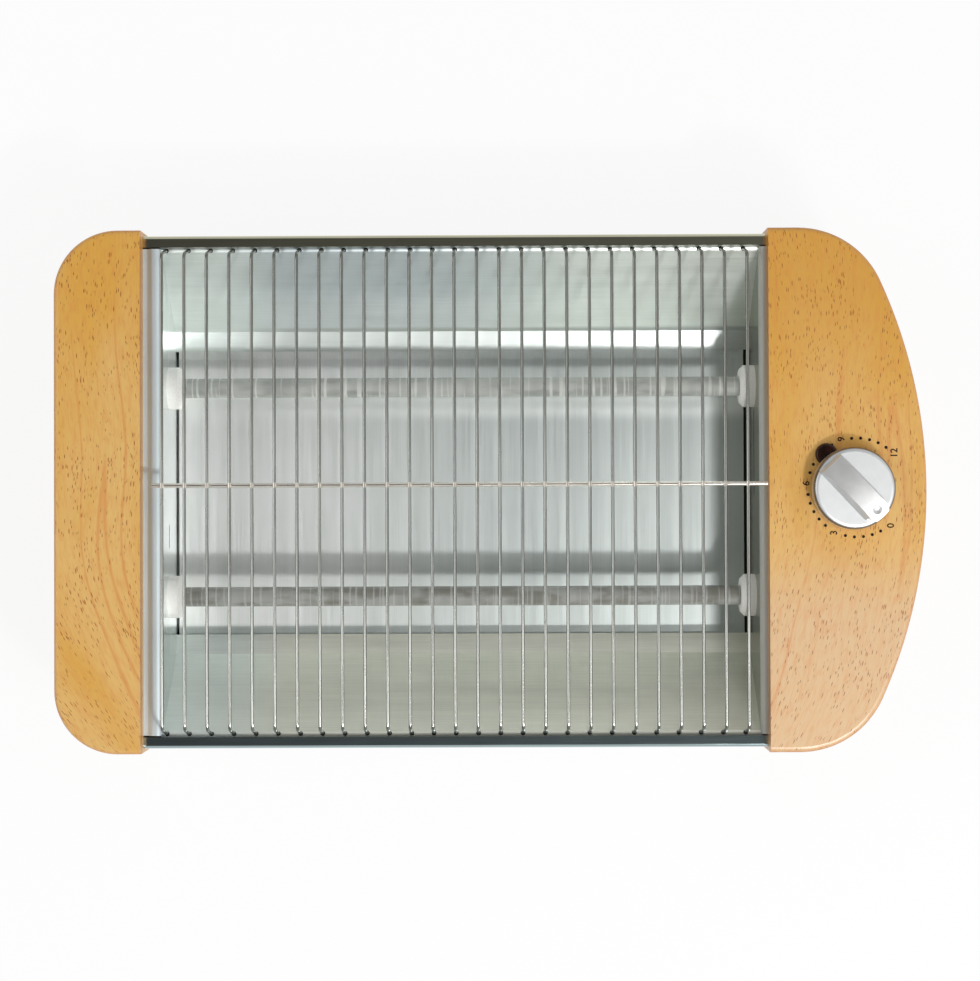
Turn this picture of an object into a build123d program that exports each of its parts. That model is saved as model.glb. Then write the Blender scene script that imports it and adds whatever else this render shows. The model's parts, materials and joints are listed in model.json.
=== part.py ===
from build123d import *
import math
import os

os.makedirs("parts", exist_ok=True)

# A flat quartz-tube toaster: two beech end blocks carry a sheet-metal trough with a wire rack over it.
# X runs from the left block to the right block, Y from front to back, Z up from the table.
# The origin is on the table, under the middle of the toaster. All sizes are millimetres.

# End blocks
half_depth = 112.8
left_block_width = 37.4
right_block_width = 67.7
trough_length = 270.3
block_height = 62.8
block_wall = 9.0
block_roof = 8.0
pocket_end_wall = 34.8
pocket_gap = 1.4
left_corner_radius = 27.5
right_corner_radius = 39.0
right_bulge_radius = 218.5
top_edge_radius = 2.5

# Heights
foot_height = 8.0
cover_sheet = 1.2
rim_drop = 7.5
trough_depth = 45.0

# Sheet metal
sheet = 0.8
bend_radius = 0.8
rim_bend_radius = 1.6
skirt_inset = 1.7
rail_width = 5.0
ledge_drop = 2.8
ledge_width = 1.5
slope_run = 31.8
foot_run = 8.6
foot_rise = 3.1
back_flange = 9.0
front_flange = 5.0

# End plates
left_gap = 8.0
right_gap = 3.0
rim_step = 1.0
rim_step_run = 2.0
rim_outer_flat = 1.9
rim_end_gap = 0.6
side_flange = 8.0
side_flange_height = 34.0
tray_flange = 8.0
slot_height = 1.4
right_slot_length = 38.0
right_slot_from_tube = 29.3
left_slot_length = 10.3
left_slot_from_tube = 26.8
slot_above_floor = 23.0

# Crumb tray and bottom pan
tray_clearance = 0.2
tray_side_clearance = 0.8
tray_right_clearance = 1.9
tray_back_clearance = 2.0
dish_margin = 3.6
dish_depth = 0.6
face_clearance = 0.4
face_side_clearance = 0.6
face_height = 9.2
pull_roll_radius = 0.9
pan_flange_height = 23.0
pan_drop = 7.7
louvre_length = 46.0
louvre_width = 3.0
louvre_rows = 3
louvre_columns = 8
louvre_pitch_x = 27.0
louvre_pitch_y = 62.0

# Quartz heaters
tube_radius = 4.3
tube_wall = 1.0
tube_half_spacing = 46.3
tube_above_floor = 22.0
coil_radius = 2.8
holder_radius = 9.3
holder_nose = 6.4
holder_chamfer = 1.8
socket_depth = 4.4
hub_radius = 6.0
hub_tail = 1.8
ring_sheet = 0.8
ring_width = 2.2
ring_split = 3.0
pin_radius = 1.6
pin_in_tube = 3.0
left_pin_tail = 4.4
right_pin_tail = 15.0
link_width = 8.0
link_offset = 0.4

# Toast rack
wire_count = 27
wire_radius = 0.7
wire_pitch = 9.65
first_wire_gap = 1.9
rack_rise = 10.5
rack_bend_radius = 3.0
rack_bend_inset = 2.6
leg_outset = 0.3
leg_tail = 5.5
leg_hole_clearance = 0.35
cross_wire_radius = 1.0
cross_wire_y = 2.6
cross_wire_left_gap = 2.6
cross_wire_right_gap = 1.0
weld_depth = 0.25

# Timer
knob_y = 0.3
knob_from_inner_face = 35.0
timer_drop = 10.0
timer_size = 42.0
timer_height = 26.0
timer_wall = 1.5
collar_radius = 5.0
collar_height = 6.0
shaft_radius = 3.0
pivot_radius = 2.0
shaft_flat = 2.0
cam_radius = 8.0
cam_thickness = 4.0
cam_height = 8.0
cam_notch = 3.0
timer_screw_radius = 1.6
timer_screw_head_radius = 3.2
timer_screw_offset = 13.0
shaft_hole_clearance = 1.4
timer_boss_radius = 3.2
timer_boss_depth = 6.0
standoff_radius = 3.6
bell_radius = 17.0
bell_height = 7.0
bell_sheet = 0.8
bell_drop = 3.0
bell_screw_radius = 1.5
bell_screw_offset = 6.5
bell_screw_head = 1.5
bell_collar_radius = 3.0
tab_width = 6.3
tab_sheet = 0.8
tab_length = 8.0
tab_spacing = 20.0
tab_inset = 4.5

# Knob
knob_radius = 17.5
knob_lift = 2.6
knob_disc_height = 7.4
knob_edge_radius = 2.0
knob_wall = 3.0
knob_cavity_depth = 4.4
knob_hub_radius = 5.5
bar_height = 4.2
bar_width = 8.9
bar_left_slope = 1.9
bar_right_slope = 0.4
bar_tip = 12.9
bar_end_inset = 0.9
bar_tail = 15.4
bar_tail_slope = 2.6
bar_arch_radius = 90.0
bar_arch_centre = 6.0
bar_angle = -46.9
dimple_radius = 1.95
dimple_depth = 0.7
socket_roof = 1.0

# Pilot lamp
lamp_from_knob_x = -10.6
lamp_from_knob_y = 14.7
lens_radius = 4.75
lens_rise = 1.6
lens_crown_radius = 1.3
lens_stem_radius = 3.9
lens_stem_length = 9.0
lens_wall = 0.8
neon_radius = 2.8
neon_tip_radius = 2.0
neon_length = 9.5

# Cord inlet and terminals
gland_from_inner_face = 20.0
gland_height = 20.0
cord_bore_radius = 3.6
gland_radius = 5.0
gland_flange_radius = 7.5
gland_flange = 2.0
gland_length = 14.0
clamp_width = 20.0
clamp_depth = 9.0
clamp_from_pocket_end = 10.0
clamp_strap = 3.0
clamp_screw_radius = 1.5
clamp_screw_spacing = 14.0
terminal_length = 22.0
terminal_depth = 14.0
terminal_height = 15.0
terminal_from_inner_face = 36.0
terminal_from_clamp = 12.0
terminal_pitch = 10.0
terminal_bore_radius = 1.9
lead_radius = 1.1
lead_bend_radius = 2.75
lead_grip = 4.4
lead_rise = 10.0
lead_approach = 8.0
lead_hole_radius = 5.0

# Feet and fasteners
foot_radius = 8.0
foot_edge_radius = 1.0
foot_inset = 16.8
left_foot_from_end = 18.7
right_foot_from_inner_face = 26.0
foot_recess_radius = 4.2
foot_recess_depth = 3.2
screw_clearance = 0.1
foot_screw_radius = 1.9
foot_screw_head_radius = 3.6
foot_screw_head = 2.2
foot_screw_length = 10.7
cover_inset = 2.5
cover_screw_radius = 1.6
cover_screw_head_radius = 3.0
cover_screw_head = 1.6
cover_screw_length = 10.0
block_screw_radius = 1.9
block_screw_head_radius = 3.6
block_screw_head = 2.2
block_screw_length = 24.0
spacer_radius = 4.0
low_screw_inset = 18.8
low_screw_height = 28.5
high_screw_inset = 10.3
high_screw_height = 50.0
skirt_screw_radius = 1.5
skirt_screw_head_radius = 2.8
skirt_screw_head = 1.0
skirt_screw_length = 5.0
skirt_screw_spacing = 18.0
pan_screw_radius = 1.5
pan_screw_head_radius = 2.8
pan_screw_head = 1.5
pan_screw_length = 5.0
pilot_depth = 1.0
fit = 0.05

# Places worked out from the sizes above
overall_length = left_block_width + trough_length + right_block_width
x_left_end = -overall_length / 2
x_left = x_left_end + left_block_width
x_right = x_left + trough_length
x_right_end = x_right + right_block_width
x_wall_left = x_left + left_gap
x_wall_right = x_right - right_gap
block_bottom = foot_height + cover_sheet
wood_top = block_bottom + block_height
pocket_roof = wood_top - block_roof
rim_z = wood_top - rim_drop
floor_z = rim_z - trough_depth
ledge_z = rim_z - ledge_drop
tube_z = floor_z + tube_above_floor
tray_margin_z = floor_z + dish_depth
tray_flange_z = floor_z - sheet - tray_clearance
pan_top = floor_z - sheet - pan_drop
pan_bottom = pan_top - sheet
skirt_y = half_depth - skirt_inset
skirt_inner_y = skirt_y - sheet
rail_inner_y = skirt_y - rail_width
ledge_inner_y = rail_inner_y - ledge_width
foot_half_depth = ledge_inner_y - slope_run
crease_half_depth = foot_half_depth - foot_run
dish_half_depth = crease_half_depth - dish_margin
rack_bend_half_span = ledge_inner_y - rack_bend_inset
leg_half_span = ledge_inner_y + leg_outset
pocket_half_length = half_depth - pocket_end_wall
foot_y = half_depth - foot_inset
low_screw_y = half_depth - low_screw_inset
high_screw_y = half_depth - high_screw_inset
clamp_y = pocket_half_length - clamp_from_pocket_end
terminal_y = clamp_y - terminal_from_clamp
wire_z = rim_z + rack_rise
cross_wire_z = wire_z - wire_radius - cross_wire_radius + weld_depth
knob_x = x_right + knob_from_inner_face
knob_bottom = wood_top + knob_lift
knob_top = knob_bottom + knob_disc_height
timer_top = pocket_roof - timer_drop
timer_bottom = timer_top - timer_height
lid_bottom = timer_bottom - timer_wall
shaft_top = knob_top - socket_roof
gland_x = x_right + gland_from_inner_face
tube_rows = (-tube_half_spacing, tube_half_spacing)
right_slot_y = tube_half_spacing - right_slot_from_tube
left_slot_y = left_slot_from_tube - tube_half_spacing
left_pin_end = x_wall_left - sheet - hub_tail - left_pin_tail + link_offset
right_pin_end = x_wall_right + right_pin_tail
tube_left = x_wall_left + holder_nose - socket_depth
tube_right = x_wall_right - holder_nose + socket_depth


def box(x0, x1, y0, y1, z0, z1):
    """A block between two opposite corners."""
    return Pos((x0 + x1) / 2, (y0 + y1) / 2, (z0 + z1) / 2) * Box(x1 - x0, y1 - y0, z1 - z0)


def rod_x(radius, y, z, x0, x1):
    """A round bar along X."""
    return Pos((x0 + x1) / 2, y, z) * Rot(0, 90, 0) * Cylinder(radius, abs(x1 - x0))


def rod_y(radius, x, z, y0, y1):
    """A round bar along Y."""
    return Pos(x, (y0 + y1) / 2, z) * Rot(90, 0, 0) * Cylinder(radius, abs(y1 - y0))


def rod_z(radius, x, y, z0, z1):
    """A round bar along Z."""
    return Pos(x, y, (z0 + z1) / 2) * Cylinder(radius, abs(z1 - z0))


def folded_sheet(path, bends):
    """Section of a folded sheet. The path is one face, the metal lies to its left."""
    points = [Vector(*point) for point in path]
    runs = [(b - a).normalized() for a, b in zip(points, points[1:])]
    normals = [Vector(-run.Y, run.X) for run in runs]
    other = [points[0] + normals[0] * sheet]
    near_radii = []
    far_radii = []
    for index, inside in enumerate(bends):
        middle = (normals[index] + normals[index + 1]).normalized()
        other.append(points[index + 1] + middle * (sheet / middle.dot(normals[index])))
        turns_left = runs[index].cross(runs[index + 1]).Z > 0
        near_radii.append(inside + sheet if turns_left else inside)
        far_radii.append(inside if turns_left else inside + sheet)
    other.append(points[-1] + normals[-1] * sheet)
    near = FilletPolyline(*points, radius=near_radii)
    far = FilletPolyline(*other, radius=far_radii)
    ends = [Edge.make_line(points[0], other[0]), Edge.make_line(points[-1], other[-1])]
    return make_face([*near.edges(), *far.edges(), *ends])


def along_x(section, x0, x1):
    """Extrudes a section drawn as (Y, Z) from x0 to x1."""
    plane = Plane(origin=(x0, 0, 0), x_dir=(0, 1, 0), z_dir=(1, 0, 0))
    return extrude(plane * section, amount=x1 - x0, dir=(1, 0, 0))


def along_y(section, half_length):
    """Extrudes a section drawn as (X, Z) to both sides of Y = 0."""
    plane = Plane(origin=(0, half_length, 0), x_dir=(1, 0, 0), z_dir=(0, -1, 0))
    return extrude(plane * section, amount=2 * half_length, dir=(0, -1, 0))


def front_of(shape):
    """The mirror image of a back piece, at the front."""
    return mirror(shape, about=Plane.XZ)


# ------------------------------------------------------------------ end blocks

def left_outline():
    """Plan of the left block, rounded at its two outer corners."""
    plan = Pos((x_left_end + x_left) / 2, 0) * Rectangle(left_block_width, 2 * half_depth)
    corners = plan.vertices().sort_by(Axis.X)[:2]
    return fillet(corners, left_corner_radius)


def right_outline():
    """Plan of the right block: a D whose bulge blends into two corner arcs."""
    bulge_x = x_right_end - right_bulge_radius
    corner_y = half_depth - right_corner_radius
    reach = right_bulge_radius - right_corner_radius
    corner_x = bulge_x + math.sqrt(reach ** 2 - corner_y ** 2)
    blend = math.degrees(math.atan2(corner_y, corner_x - bulge_x))
    back = CenterArc((corner_x, corner_y), right_corner_radius, blend, 90 - blend)
    bulge = CenterArc((bulge_x, 0), right_bulge_radius, -blend, 2 * blend)
    front = CenterArc((corner_x, -corner_y), right_corner_radius, -90, 90 - blend)
    inner_back = (x_right, half_depth)
    inner_front = (x_right, -half_depth)
    lines = [
        Line(inner_front, (corner_x, -half_depth)),
        Line((corner_x, half_depth), inner_back),
        Line(inner_back, inner_front),
    ]
    arcs = [front, bulge, back]
    return make_face([edge for piece in arcs + lines for edge in piece.edges()])


def routed_block(outline):
    """A beech block with a pocket routed from below, rounded along its outer top edges only."""
    block = extrude(Pos(0, 0, block_bottom) * outline, amount=block_height, dir=(0, 0, 1))
    edges = block.faces().sort_by(Axis.Z)[-1].edges()
    beside_trough = edges.filter_by(Axis.Y).sort_by(SortBy.LENGTH)[-1]
    block = fillet([edge for edge in edges if not edge.is_same(beside_trough)], top_edge_radius)
    pocket = offset(outline, amount=-block_wall)
    pocket &= Rectangle(2 * overall_length, 2 * pocket_half_length)
    return block - extrude(Pos(0, 0, block_bottom) * pocket, amount=pocket_roof - block_bottom, dir=(0, 0, 1))


def foot_places():
    """Foot centres by name."""
    left = x_left_end + left_foot_from_end
    right = x_right + right_foot_from_inner_face
    return {
        "left_front_foot": (left, -foot_y),
        "left_back_foot": (left, foot_y),
        "right_front_foot": (right, -foot_y),
        "right_back_foot": (right, foot_y),
    }


def cover_screw_places(side):
    """Two screws per cover, in the solid wood next to the feet."""
    if side < 0:
        x = x_left_end + left_foot_from_end
    else:
        x = x_right + right_foot_from_inner_face
    y = (pocket_half_length + foot_y - foot_radius) / 2
    return [(x, -y), (x, y)]


def block_screw_places():
    """Y, Z and whether the pan's flange is under the screw, for one end."""
    places = []
    for side in (-1, 1):
        places.append((side * low_screw_y, low_screw_height, True))
        places.append((side * high_screw_y, high_screw_height, False))
    return places


def screw_holes_in_block(side):
    """Pilot holes for the feet, the cover and the end plate in one block."""
    holes = []
    feet = [place for place in foot_places().values() if place[0] * side > 0]
    foot_hole_top = foot_recess_depth + foot_screw_length + pilot_depth
    for x, y in feet:
        holes.append(rod_z(foot_screw_radius + fit, x, y, block_bottom, foot_hole_top))
    cover_hole_top = foot_height + cover_screw_length + pilot_depth
    for x, y in cover_screw_places(side):
        holes.append(rod_z(cover_screw_radius + fit, x, y, block_bottom, cover_hole_top))
    face = x_left if side < 0 else x_right
    wall = x_wall_left if side < 0 else x_wall_right
    tip = wall + side * (block_screw_length + pilot_depth)
    for y, z, _ in block_screw_places():
        holes.append(rod_x(block_screw_radius + fit, y, z, face, tip))
    return holes


def pocket_room(x, y, length, depth, top):
    """Room in the wood around a piece that stands in the pocket."""
    room = Box(length + 2 * pocket_gap, depth + 2 * pocket_gap, top - block_bottom)
    return Pos(x, y, (block_bottom + top) / 2) * room


def left_end_block():
    return routed_block(left_outline()) - screw_holes_in_block(-1)


def right_end_block():
    block = routed_block(right_outline()) - screw_holes_in_block(1)
    holes = [rod_z(shaft_radius + shaft_hole_clearance, knob_x, knob_y, pocket_roof, wood_top)]
    for x in timer_screw_places():
        holes.append(rod_z(timer_screw_radius + fit, x, knob_y, pocket_roof, wood_top))
        holes.append(timer_screw_cone(x, fit))
    lamp = (knob_x + lamp_from_knob_x, knob_y + lamp_from_knob_y)
    holes.append(rod_z(lens_stem_radius + fit, *lamp, pocket_roof, wood_top))
    flange_seat = half_depth - gland_flange
    holes.append(rod_y(gland_radius + fit, gland_x, gland_height, pocket_half_length, half_depth))
    holes.append(rod_y(gland_flange_radius + fit, gland_x, gland_height, flange_seat, half_depth))
    for y in tube_rows:
        holes.append(rod_x(lead_hole_radius, y, tube_z, x_right, x_right + block_wall))
    terminal_x = x_right + terminal_from_inner_face
    holes.append(pocket_room(knob_x, knob_y, timer_size, timer_size, pocket_roof))
    terminal_top = block_bottom + terminal_height + pocket_gap
    holes.append(pocket_room(terminal_x, terminal_y, terminal_length, terminal_depth, terminal_top))
    return block - holes


# ------------------------------------------------------------------ trough

def skirt(bottom, flange):
    """Outer sheet with its polished rail on top and a stiffening flange below, for the back."""
    path = [
        (skirt_y - flange, bottom),
        (skirt_y, bottom),
        (skirt_y, rim_z),
        (rail_inner_y, rim_z),
    ]
    body = along_x(folded_sheet(path, [bend_radius, bend_radius]), x_left, x_right)
    hole = skirt_screw_radius + fit
    return body - [rod_y(hole, x, z, skirt_inner_y, skirt_y) for x, z in skirt_screw_places()]


def skirt_screw_places():
    """X and Z of the screws that hold a skirt to the end plates' side flanges."""
    middle = side_flange_bottom() + side_flange_height / 2
    places = []
    for x in (x_wall_left + side_flange / 2, x_wall_right - side_flange / 2):
        for z in (middle - skirt_screw_spacing / 2, middle + skirt_screw_spacing / 2):
            places.append((x, z))
    return places


def side_flange_bottom():
    """The side flanges start above the tray's front opening."""
    return tray_margin_z + sheet + bend_radius + face_clearance


def pan_screw_places():
    """Screws through the pan into the back skirt's flange."""
    middle = (x_left + x_right) / 2
    step = trough_length / 3
    y = skirt_inner_y - back_flange / 2
    return [(middle - step, y), (middle, y), (middle + step, y)]


def back_skirt():
    hole = pan_screw_radius + fit
    holes = [rod_z(hole, x, y, pan_top, pan_top + sheet) for x, y in pan_screw_places()]
    return skirt(pan_top, back_flange) - holes


def front_skirt():
    return front_of(skirt(tray_margin_z + face_clearance, front_flange))


def reflector():
    """Inner wall, for the back: a narrow ledge under the rail, a steep slope, and a foot over the tray."""
    foot_z = tray_margin_z + tray_clearance + sheet
    path = [
        (skirt_inner_y - tray_clearance, ledge_z),
        (ledge_inner_y, ledge_z),
        (foot_half_depth, foot_z + foot_rise),
        (crease_half_depth, foot_z),
    ]
    section = folded_sheet(path, [rim_bend_radius, bend_radius])
    body = along_x(section, x_wall_left, x_wall_right)
    return body - [Pos(x, 0, 0) * leg_hole() for x in wire_places()]


def leg_points():
    """The wire's bend and the end of its leg, as (Y, Z) at the back."""
    slope = (leg_half_span - rack_bend_half_span) / (wire_z - ledge_z)
    tip_z = ledge_z - leg_tail
    return (rack_bend_half_span, wire_z), (leg_half_span + slope * leg_tail, tip_z)


def leg_hole():
    """The slanting hole that a rack leg passes through, at X = 0."""
    (top_y, top_z), (tip_y, tip_z) = leg_points()
    direction = Vector(0, tip_y - top_y, tip_z - top_z)
    middle = Vector(0, (tip_y + top_y) / 2, (tip_z + top_z) / 2)
    radius = wire_radius + leg_hole_clearance
    hole = Plane(origin=middle, z_dir=direction) * Cylinder(radius, direction.length)
    return hole & box(-rack_bend_radius, rack_bend_radius, 0, skirt_inner_y, tip_z, rim_z)


def wire_places():
    """X of each rack wire."""
    first = x_wall_left + first_wire_gap
    return [first + wire_pitch * index for index in range(wire_count)]


def rolled_rim(gap, step):
    """Section of an end plate in distance from the wall towards the block, and height."""
    if step:
        edge = [(gap, rim_z - rim_step), (gap - rim_outer_flat, rim_z - rim_step)]
        edge.append((gap - rim_outer_flat - rim_step_run, rim_z))
        bends = [bend_radius, bend_radius, rim_bend_radius, bend_radius]
    else:
        edge = [(gap, rim_z)]
        bends = [rim_bend_radius, bend_radius]
    path = [*edge, (0, rim_z), (0, tray_flange_z), (-tray_flange, tray_flange_z)]
    return folded_sheet(path, bends)


def end_plate(gap, step, slot_y, slot_length):
    """End wall with a rolled rim, two side flanges and the flange that carries the tray.

    X is measured from the wall's inner face towards the block."""
    plate = along_y(rolled_rim(gap, step), rail_inner_y - rim_end_gap)
    shoulder = rim_z - sheet - bend_radius - face_clearance
    flange_z = side_flange_bottom()
    plate += box(0, sheet, -skirt_inner_y, skirt_inner_y, flange_z, shoulder)
    for side in (-1, 1):
        y = sorted((side * skirt_inner_y, side * (skirt_inner_y - sheet)))
        plate += box(-side_flange, sheet, *y, flange_z, flange_z + side_flange_height)
    holes = [rod_x(hub_radius + screw_clearance, y, tube_z, 0, sheet) for y in tube_rows]
    slot_z = floor_z + slot_above_floor
    ends = (slot_y - slot_length / 2, slot_y + slot_length / 2)
    holes.append(box(0, sheet, *ends, slot_z - slot_height / 2, slot_z + slot_height / 2))
    for y, z, _ in block_screw_places():
        holes.append(rod_x(block_screw_radius + fit, y, z, 0, sheet))
    for _, z in skirt_screw_places():
        holes.append(rod_y(skirt_screw_radius + fit, -side_flange / 2, z, -skirt_y, skirt_y))
    return plate - holes


def right_end_plate():
    return Pos(x_wall_right, 0, 0) * end_plate(right_gap, False, right_slot_y, right_slot_length)


def left_end_plate():
    plate = end_plate(left_gap, True, left_slot_y, left_slot_length)
    return Pos(x_wall_left, 0, 0) * mirror(plate, about=Plane.YZ)


def bottom_pan():
    """Louvred heat shield under the tray, screwed to the end plates by its side flanges."""
    top = pan_bottom + pan_flange_height
    x0 = x_wall_left - 2 * sheet
    x1 = x_wall_right + 2 * sheet
    path = [(x0, top), (x0, pan_bottom), (x1, pan_bottom), (x1, top)]
    front = -(skirt_inner_y - face_clearance)
    back = skirt_inner_y
    section = folded_sheet(path, [bend_radius, bend_radius])
    pan = Pos(0, (front + back) / 2, 0) * along_y(section, (back - front) / 2)
    side_end = skirt_y - back_flange - face_clearance
    holes = [box(x0, x1, side_end, back, pan_top, top), box(x0, x1, front, -side_end, pan_top, top)]
    holes += [rod_z(pan_screw_radius + fit, x, y, pan_bottom, pan_top) for x, y in pan_screw_places()]
    for y, z, low in block_screw_places():
        if low:
            holes.append(rod_x(block_screw_radius + fit, y, z, x0, x1))
    louvre = extrude(SlotOverall(louvre_length, louvre_width, 90), amount=2 * sheet, both=True)
    middle = (x_wall_left + x_wall_right) / 2
    for row in range(louvre_rows):
        for column in range(louvre_columns):
            x = middle + (column - (louvre_columns - 1) / 2) * louvre_pitch_x
            y = (row - (louvre_rows - 1) / 2) * louvre_pitch_y
            holes.append(Pos(x, y, pan_bottom) * louvre)
    return pan - holes


def crumb_tray():
    """Shallow dished tray whose front edge folds down into a face with a rolled pull."""
    x0 = x_wall_left + tray_side_clearance
    x1 = x_wall_right - tray_right_clearance
    back = skirt_inner_y - tray_back_clearance
    face_y = -(skirt_inner_y + face_clearance)
    outer_y = face_y - sheet
    low = floor_z - sheet
    margin = tray_margin_z - sheet
    path = [
        (face_y, margin),
        (-crease_half_depth, margin),
        (-dish_half_depth, low),
        (dish_half_depth, low),
        (crease_half_depth, margin),
        (back, margin),
    ]
    tray = along_x(folded_sheet(path, [bend_radius] * (len(path) - 2)), x0, x1)
    face_x0 = x_left + face_side_clearance
    face_x1 = x_right - face_side_clearance
    bottom = floor_z - face_height
    tray += box(face_x0, face_x1, outer_y, face_y, bottom, tray_margin_z)
    edge = tray.edges().filter_by(Axis.X).sort_by(Axis.Y)
    outer_edge = [e for e in edge if abs(e.center().Y - outer_y) < fit and e.center().Z > bottom + fit]
    tray = fillet(outer_edge, bend_radius / 2)
    roll_y = outer_y - pull_roll_radius / 4
    return tray + rod_x(pull_roll_radius, roll_y, bottom + pull_roll_radius, face_x0, face_x1)


# ------------------------------------------------------------------ quartz heaters

def at_wall(shape, end):
    """Places a piece drawn from the wall's inner face outwards, at the left or right end."""
    if end == "left":
        return Pos(x_wall_left, 0, 0) * mirror(shape, about=Plane.YZ)
    return Pos(x_wall_right, 0, 0) * shape


def tube_holder(y, end):
    """Ceramic cap: a round nose inside the trough and a hub through the end plate."""
    nose = rod_x(holder_radius, y, tube_z, -holder_nose, 0)
    front_edge = nose.edges().sort_by(Axis.X)[:1]
    holder = chamfer(front_edge, holder_chamfer)
    holder += rod_x(hub_radius, y, tube_z, 0, sheet + hub_tail)
    holder -= rod_x(tube_radius + screw_clearance, y, tube_z, -holder_nose, -holder_nose + socket_depth)
    holder -= rod_x(pin_radius + screw_clearance, y, tube_z, -holder_nose, sheet + hub_tail)
    return at_wall(holder, end)


def holder_rings():
    """Split spring rings that hold the four ceramic hubs behind the end plates."""
    rings = []
    for end in ("left", "right"):
        for y in tube_rows:
            ring = rod_x(hub_radius + ring_width, y, tube_z, sheet, sheet + ring_sheet)
            ring -= rod_x(hub_radius, y, tube_z, sheet, sheet + ring_sheet)
            split = (y - ring_split / 2, y + ring_split / 2)
            ring -= box(sheet, sheet + ring_sheet, *split, tube_z, tube_z + 2 * hub_radius)
            rings.append(at_wall(ring, end))
    return rings


def quartz_tube(y):
    tube = rod_x(tube_radius, y, tube_z, tube_left, tube_right)
    return tube - rod_x(tube_radius - tube_wall, y, tube_z, tube_left, tube_right)


def heating_coil(y):
    """Envelope of the resistance coil, between the two pins."""
    return rod_x(coil_radius, y, tube_z, tube_left + pin_in_tube, tube_right - pin_in_tube)


def terminal_pins():
    """Steel pins from the coils through the ceramic caps."""
    pins = []
    for y in tube_rows:
        pins.append(rod_x(pin_radius, y, tube_z, left_pin_end, tube_left + pin_in_tube))
        pins.append(rod_x(pin_radius, y, tube_z, tube_right - pin_in_tube, right_pin_end))
    return pins


def link_strap():
    """Flat strap that joins the two left pins behind the end plate."""
    half = tube_half_spacing + link_width / 2
    x1 = x_wall_left - sheet - hub_tail - link_offset
    x0 = x1 - sheet
    strap = box(x0, x1, -half, half, tube_z - link_width / 2, tube_z + link_width / 2)
    for y in tube_rows:
        strap -= rod_x(pin_radius + fit, y, tube_z, x0, x1)
    return strap


# ------------------------------------------------------------------ toast rack

def toast_rack():
    """Bent wires with both ends in the reflectors' ledges, and one cross wire welded under them."""
    (bend_y, bend_z), (tip_y, tip_z) = leg_points()
    front_half = [(0, -tip_y, tip_z), (0, -bend_y, bend_z)]
    back_half = [(0, bend_y, bend_z), (0, tip_y, tip_z)]
    path = FilletPolyline(*front_half, *back_half, radius=rack_bend_radius)
    start = Plane(origin=path @ 0, z_dir=path % 0)
    wire = sweep(start * Circle(wire_radius), path=path)
    x0 = x_wall_left - cross_wire_left_gap
    x1 = x_right - cross_wire_right_gap
    cross = rod_x(cross_wire_radius, cross_wire_y, cross_wire_z, x0, x1)
    return cross + [Pos(x, 0, 0) * wire for x in wire_places()]


# ------------------------------------------------------------------ timer and knob

def timer_case():
    """Box of the clockwork timer, open below, with its bearing collar and two screw bosses."""
    half = timer_size / 2
    case = box(knob_x - half, knob_x + half, knob_y - half, knob_y + half, timer_bottom, timer_top)
    inner = half - timer_wall
    roof = timer_top - timer_wall
    case -= box(knob_x - inner, knob_x + inner, knob_y - inner, knob_y + inner, timer_bottom, roof)
    case += rod_z(collar_radius, knob_x, knob_y, timer_top, timer_top + collar_height)
    for x in timer_screw_places():
        case += rod_z(timer_boss_radius, x, knob_y, roof - timer_boss_depth, roof)
        case -= rod_z(timer_screw_radius + fit, x, knob_y, timer_top - timer_boss_depth, timer_top)
    return case - rod_z(shaft_radius + fit, knob_x, knob_y, roof, timer_top + collar_height)


def timer_screw_places():
    return [knob_x - timer_screw_offset, knob_x + timer_screw_offset]


def timer_lid():
    """Bottom plate of the timer, with the lower bearing."""
    half = timer_size / 2
    lid = box(knob_x - half, knob_x + half, knob_y - half, knob_y + half, lid_bottom, timer_bottom)
    lid -= rod_z(pivot_radius + fit, knob_x, knob_y, lid_bottom, timer_bottom)
    lid -= rod_z(bell_screw_radius + fit, knob_x, knob_y + bell_screw_offset, lid_bottom, timer_bottom)
    return lid - [terminal_tab(x, y, lid_bottom, timer_bottom) for x, y in tab_places()]


def timer_shaft():
    """Shaft from the lower bearing to the knob, with its switch cam and a flat at the top."""
    shaft = rod_z(pivot_radius, knob_x, knob_y, lid_bottom, timer_bottom + timer_wall)
    shaft += rod_z(shaft_radius, knob_x, knob_y, timer_bottom + timer_wall, shaft_top)
    cam_z = timer_bottom + cam_height
    shaft += rod_z(cam_radius, knob_x, knob_y, cam_z, cam_z + cam_thickness)
    shaft -= rod_z(cam_notch, knob_x + cam_radius, knob_y, cam_z, cam_z + cam_thickness)
    flat = (knob_y + shaft_flat, knob_y + shaft_radius)
    return shaft - box(knob_x - shaft_radius, knob_x + shaft_radius, *flat, knob_bottom, shaft_top)


def timer_screw_cone(x, clearance):
    """The countersunk head, flush with the wood, or its seat when there is a clearance."""
    depth = timer_screw_head_radius - timer_screw_radius
    cone = Cone(timer_screw_radius + clearance, timer_screw_head_radius + clearance, depth)
    return Pos(x, knob_y, wood_top - depth / 2) * cone


def timer_screws():
    """Countersunk screws through the block's roof, under the knob."""
    neck = wood_top - timer_screw_head_radius + timer_screw_radius
    tip = timer_top - timer_boss_depth / 2
    screws = []
    for x in timer_screw_places():
        screws.append(timer_screw_cone(x, 0) + rod_z(timer_screw_radius, x, knob_y, tip, neck))
    return screws


def timer_standoffs():
    """Sleeves that hold the timer below the roof."""
    sleeves = []
    for x in timer_screw_places():
        sleeve = rod_z(standoff_radius, x, knob_y, timer_top, pocket_roof)
        sleeves.append(sleeve - rod_z(timer_screw_radius + fit, x, knob_y, timer_top, pocket_roof))
    return sleeves


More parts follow.
